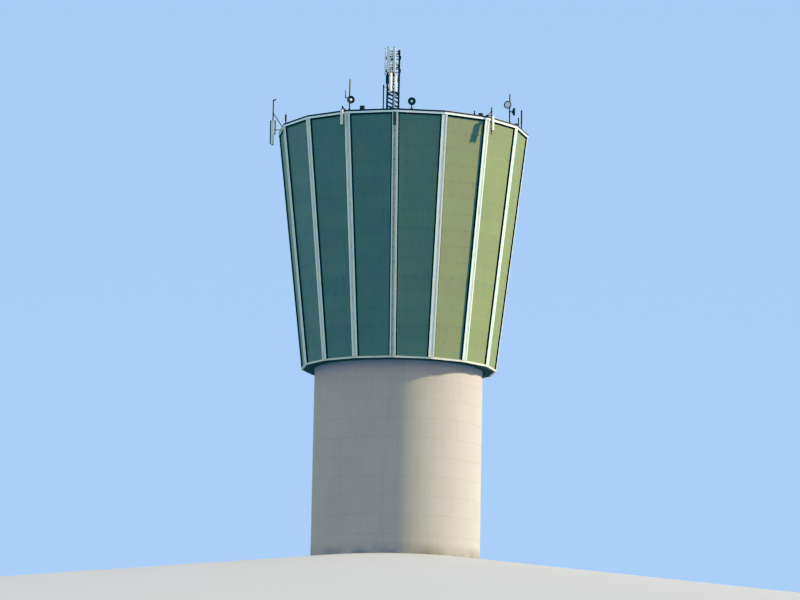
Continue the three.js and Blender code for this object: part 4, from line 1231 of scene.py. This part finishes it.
LEFT = -25.6
ARM_RISE, ARM_REACH = 0.96, 0.34
left = Bench()
place, y = stand(LEFT), on_cap(LEFT)
pole(left, y, 2.3, place)
dish(left, place @ Matrix.Translation((0, y, DECK + 0.73)) @ stand(47), 0.11)
tube(left, (0, y, DECK + ARM_RISE), (-ARM_REACH, y, DECK + ARM_RISE), 0.025, 12, place=place)
clamp(left, place @ Matrix.Translation((0, y, DECK + ARM_RISE)))
turned(left, [
    (0.026, 0.9), (0.038, 0.91), (0.038, 1.18), (0.03, 1.2), (0.03, 1.49), (0.022, 1.52),
    (0.006, 1.53),
], place @ Matrix.Translation((-ARM_REACH, y, DECK)), 16)
rim_piece(left, "left_pole_with_dish", "left_dish_pole")

# Hung panels: a white panel outside the rim on a galvanised pipe, which a square arm and a strut
# hold off a block on the capping. Clamps join the strut and the panel to the pipe.
HUNG_LENGTH = 1.15
PANEL_CLAMPS = (-0.93, -0.19)


def free_pipe(bench, place, low, high, radius=POLE_R):
    """A pipe that hangs in clamps, plugged at its head, about the place's Z."""
    turned(bench, [
        (radius - 0.004, low), (radius, low + 0.004), (radius, high - 0.02),
        (0.6 * radius, high - 0.002),
    ], place, 18)


for azimuth, reach, pipe_top, strut_top, pipe_foot, stands_off, solid in (
    (-28.0, 0.09, 0.29, 0.2, -1.0, -0.01, "left_hung_panel"),
    (41.8, 0.25, 0.64, 0.33, -1.37, 0.06, "right_hung_panel"),
):
    hung = Bench()
    place, y, out = stand(azimuth), on_cap(azimuth), -(RIM_R + reach)
    pipe = place @ Matrix.Translation((0, out, DECK))
    foot_plate(hung, y, place)
    block(hung, (0.13, 0.13, 0.112), (0, y, DECK + 0.074), place, 0, 0.006)
    block(hung, (0.058, abs(out - y), 0.058), (0, (out + y) / 2, DECK + 0.06), place, 0, 0.006)
    tube(hung, (0, y, DECK + 0.09), (0, out, DECK + strut_top), 0.029, 14, place=place)
    free_pipe(hung, pipe, pipe_foot, pipe_top)
    panel = (0, -stands_off - POLE_R - PANEL_DEEP / 2, 0.015 - HUNG_LENGTH / 2)
    panel_antenna(hung, pipe @ Matrix.Translation(panel), HUNG_LENGTH, RADOME, GREY, RUBBER)
    for z in (0.06, strut_top, *PANEL_CLAMPS):
        clamp(hung, pipe @ Matrix.Translation((0, 0, z)))
    arm = POLE_R + stands_off + 0.01
    for z in PANEL_CLAMPS:
        block(hung, (0.08, arm, 0.058), (0, -arm / 2, z), pipe)
    rim_piece(hung, f"{solid}_antenna", solid)

# Middle: a thin galvanised pole on the roof beside the mast, with two ties clamped to its leg, and
# a dish on a short post that is bolted to the capping.
SIDE_POLE_X, SIDE_POLE_HEIGHT = -0.705, 3.72
side_pole = Bench()
place = Matrix.Translation((MAST_X + SIDE_POLE_X, 0, MAST_FOOT - DECK))
pole(side_pole, -MAST_HALF, SIDE_POLE_HEIGHT, place)
tie = -HEEL - SEAT - SIDE_POLE_X
for rise in (1.2, SIDE_POLE_HEIGHT - 0.2):
    block(side_pole, (tie, 0.048, 0.048), (tie / 2, -MAST_HALF, DECK + rise), place)
    clamp(side_pole, place @ Matrix.Translation((0, -MAST_HALF, DECK + rise)))
rim_piece(side_pole, "pole_beside_mast", "mast_side_pole")
CENTRE = 3.7
centre = Bench()
place, y = stand(CENTRE), on_cap(CENTRE)
pole(centre, y, 0.68, place)
dish(centre, place @ Matrix.Translation((0, y, DECK + 0.54)) @ stand(-4), 0.12)
rim_piece(centre, "short_post_with_dish", "centre_dish")

# Right: a tall galvanised pole with two dishes clamped to it, facing different ways. Slender rod
# antennas in dark sleeves, and a stub, stand on plates of their own along the rim.
TWIN = 59.8
twin = Bench()
place, y = stand(TWIN), on_cap(TWIN)
pole(twin, y, 2.19, place)
for rise, turn, reach, hub in ((1.325, -85, 0.24, 0.23), (0.885, 30, 0.2, 0.1)):
    dish(twin, place @ Matrix.Translation((0, y, DECK + rise)) @ stand(turn), reach, hub)
rim_piece(twin, "pole_with_two_dishes", "twin_dish_pole")
for azimuth, height, solid, sleeve in (
    (71.6, 0.8, "right_rod_short", ()),
    (-75.0, 0.85, "left_rod", ((0.045, 0.3), (0.072, 0.31), (0.072, 0.77), (0.045, 0.79))),
    (35.0, 0.33, "right_stub", ()),
    (78.0, 0.6, "right_rod_tall", (
        (0.05, 0.52), (0.066, 0.53), (0.066, 0.66), (0.06, 0.68), (0.06, 1.5), (0.045, 1.55),
        (0.012, 1.57),
    )),
):
    rod = Bench()
    place, y = stand(azimuth), on_cap(azimuth)
    pole(rod, y, height, place, SHROUD)
    if sleeve:
        turned(rod, sleeve, place @ Matrix.Translation((0, y, DECK)), 20, SHROUD)
    rim_piece(rod, f"{solid}_pole", solid)

# Left-hand end: a long galvanised pole outside the rim, clamped to an arm and a strut, its head
# bent over inwards. A long panel hangs below its middle, between two side pipes.
END, END_R = -90.5, 9.73
END_PANEL_TOP, END_PANEL_LENGTH = 0.86, 1.91
END_PANEL_MIDDLE = END_PANEL_TOP - END_PANEL_LENGTH / 2
PIPE_SPREAD = 0.17
end_pole = Bench()
place, y = stand(END), on_cap(END)
pole(end_pole, y, 0.4, place)
hung_from = place @ Matrix.Translation((0, -END_R, DECK))
free_pipe(end_pole, hung_from, -0.9, 2.38)
for side, foot in ((-PIPE_SPREAD, -0.95), (PIPE_SPREAD, -0.26)):
    beside = hung_from @ Matrix.Translation((0, side, 0))
    free_pipe(end_pole, beside, foot, END_PANEL_TOP, 0.045)
for z in (END_PANEL_TOP - 0.1, -0.16):
    block(end_pole, (0.048, 2 * PIPE_SPREAD, 0.048), (0, 0, z), hung_from)
for start_z, end_z in ((0.12, 0.12), (0.36, 1.39)):
    tube(end_pole, (0, y, DECK + start_z), (0, -END_R, DECK + end_z), 0.034, 14, place=place)
    clamp(end_pole, hung_from @ Matrix.Translation((0, 0, end_z)))
tube(end_pole, (0, -0.06, 2.35), (0, 0.22, 2.44), 0.054, 14, 0, 0.01, hung_from)
sideways = Matrix.Rotation(math.pi / 2, 4, "Z")
panel = (POLE_R + PANEL_DEEP / 2 - 0.01, 0, END_PANEL_MIDDLE)
panel_antenna(end_pole, hung_from @ Matrix.Translation(panel) @ sideways, END_PANEL_LENGTH,
              RADOME, GREY, RUBBER)
for z in (END_PANEL_MIDDLE - 0.5, END_PANEL_MIDDLE + 0.5):
    clamp(end_pole, hung_from @ Matrix.Translation((0, 0, z)) @ sideways)
rim_piece(end_pole, "end_pole_with_panel", "end_pole")

# Cabinets on the rim: small boxes of folded steel, powder-coated dark, screwed down to the capping.
# Each has a hood, a raised door in front and one zinc lock.
for azimuth, wide, deep, high, solid in (
    (-19.5, 0.33, 0.26, 0.29, "left_cabinet"),
    (38.4, 0.28, 0.24, 0.19, "right_cabinet"),
    (67.2, 0.24, 0.2, 0.21, "right_box"),
):
    cabinet = Bench()
    place, y = stand(azimuth), on_cap(azimuth)
    front = y - deep / 2 + 0.008
    block(cabinet, (wide - 0.016, deep - 0.016, high - 0.014), (0, y, DECK + high / 2 - 0.004),
          place, 0, 0.006)
    block(cabinet, (wide, deep, 0.018), (0, y, DECK + high - 0.0095), place)
    bordered(cabinet, [(0, 0.0), (0, -0.006), (0.012, -0.008), (0.016, -0.003), (0.016, 0.0)],
             wide / 2 - 0.03, high / 2 - 0.03,
             place @ Matrix.Translation((0, front, DECK + high / 2 - 0.01)))
    bolt(cabinet, (wide / 2 - 0.06, front, DECK + high / 2), (0, -1, 0), 0.01, 1, place)
    piece(cabinet, f"{solid}_box", [shroud_paint, zinc], [solid])

# Setting: a plain pale mound that falls away from the tower's foot, because the camera looks up at
# it from below. A low, warm sun comes from the right, and the sky fills the shade. The tone curves
# give the photograph's deep blue-green shade and softened highlights.
MOUND_SLOPE = math.tan(math.radians(7))
MOUND_BEND, MOUND_END = 220.0, 2200.0  # where it starts to level out, and its far edge
LAST_FALL = 9.75  # how much further it falls past there
SUN_AZIMUTH, SUN_HEIGHT = math.radians(92.3), math.radians(29.2)


def mound_level(radius):
    """The mound's level at a distance from the tower's axis."""
    level = -MOUND_SLOPE * max(0.0, min(radius, MOUND_BEND) - SHAFT_R - 0.05)
    if radius > MOUND_BEND:
        level -= LAST_FALL * (1 - math.exp(-(radius - MOUND_BEND) * MOUND_SLOPE / LAST_FALL))
    return level - 0.003


ground = Bench()
radii = [0.5, 3.0, SHAFT_R + 0.05, 6.6, 7.5, 9.0, 12.0, 20.0, 40.0, 80.0, 140.0, MOUND_BEND,
         240.0, 265.0, 300.0, 350.0, 450.0, 700.0, 1200.0, MOUND_END]
turned(ground, [(r, mound_level(r)) for r in radii] + [(MOUND_END, -60.0)], sides=96)
mesh = bpy.data.meshes.new("mound")
mesh.from_pydata(ground.points, [], ground.faces)
mesh.polygons.foreach_set("use_smooth", [True] * len(mesh.polygons))
pale_floor, tree = blank("pale_floor")
coat(tree, paint("c2bdaf"), None, 0.95)
mesh.materials.append(pale_floor)
mound = bpy.data.objects.new("mound", mesh)
bpy.context.scene.collection.objects.link(mound)
mound.visible_diffuse = False  # so that the pale ground throws no light up on the tower
mound.visible_glossy = False

sun = bpy.data.objects.new("sun", bpy.data.lights.new("sun", "SUN"))
bpy.context.scene.collection.objects.link(sun)
sun.data.energy = 6.55
sun.data.color = (1.0, 0.84, 0.60)
sun.data.angle = math.radians(3)
towards = compass(math.cos(SUN_HEIGHT), SUN_AZIMUTH, math.sin(SUN_HEIGHT))
sun.rotation_mode = "QUATERNION"
sun.rotation_quaternion = towards.to_track_quat("Z", "Y")

world = bpy.data.worlds.new("sky")
bpy.context.scene.world = world
world.use_nodes = True
tree = world.node_tree
tree.nodes.clear()
facing = node(tree, "SeparateXYZ", {0: node(tree, "TexCoord").outputs["Generated"]}).outputs[2]
height = node(tree, "MapRange", {"Value": facing, "From Min": -1.0})
sky = node(tree, "ValToRGB", {"Fac": height})
stops = (
    (0.0, (0.13, 0.27, 0.34)), (0.35, (0.13, 0.27, 0.34)), (0.44, (0.46, 0.66, 0.88)),
    (0.5, (0.5, 0.68, 0.92)), (0.53, (0.38, 0.69, 0.98)), (1.0, (0.30, 0.52, 0.92)),
)
while len(sky.color_ramp.elements) < len(stops):
    sky.color_ramp.elements.new(0.5)
for element, (spot, colour) in zip(sky.color_ramp.elements, stops):
    element.position = spot
    element.color = (*colour, 1.0)
node(tree, "OutputWorld", {"Surface": node(tree, "Background", {"Color": sky})})

tones = bpy.context.scene.view_settings
tones.view_transform = "Standard"
tones.use_curve_mapping = True
RED = ((0.03, 0.013), (0.057, 0.033), (0.15, 0.205), (0.3, 0.345), (0.6, 0.57), (1.0, 0.86))
GREEN = ((0.03, 0.03), (0.12, 0.104), (0.212, 0.218), (0.3, 0.315), (0.43, 0.43), (0.827, 0.75),
         (1.0, 0.94))
BLUE = ((0.03, 0.033), (0.092, 0.116), (0.147, 0.162), (0.19, 0.192), (0.271, 0.242),
        (0.445, 0.42), (0.65, 0.63), (1.0, 0.96))
for curve, points in zip(tones.curve_mapping.curves, (RED, GREEN, BLUE)):
    curve.points[1].location = points[-1]
    for point in points[:-1]:
        curve.points.new(*point)
tones.curve_mapping.update()

# Camera: where the photograph was taken from, 270 m away and 23 m below the tower's foot, with its
# small tilt to the right. It is aimed at the tower, so that the whole of it shows, and its longer
# lens brings the tower closer.
AIM_LEVEL = 19.3
TILT = math.radians(1.1)
camera = bpy.data.objects.new("camera", bpy.data.cameras.new("camera"))
bpy.context.scene.collection.objects.link(camera)
bpy.context.scene.camera = camera
camera.data.lens = 166
camera.data.clip_start, camera.data.clip_end = 1.0, 4000.0
camera.location = (0, -269.7, -22.84)
aim = Vector((0, 0, AIM_LEVEL)) - camera.location
camera.rotation_mode = "QUATERNION"
camera.rotation_quaternion = (
    aim.to_track_quat("-Z", "Y") @ Matrix.Rotation(TILT, 4, "Z").to_quaternion())
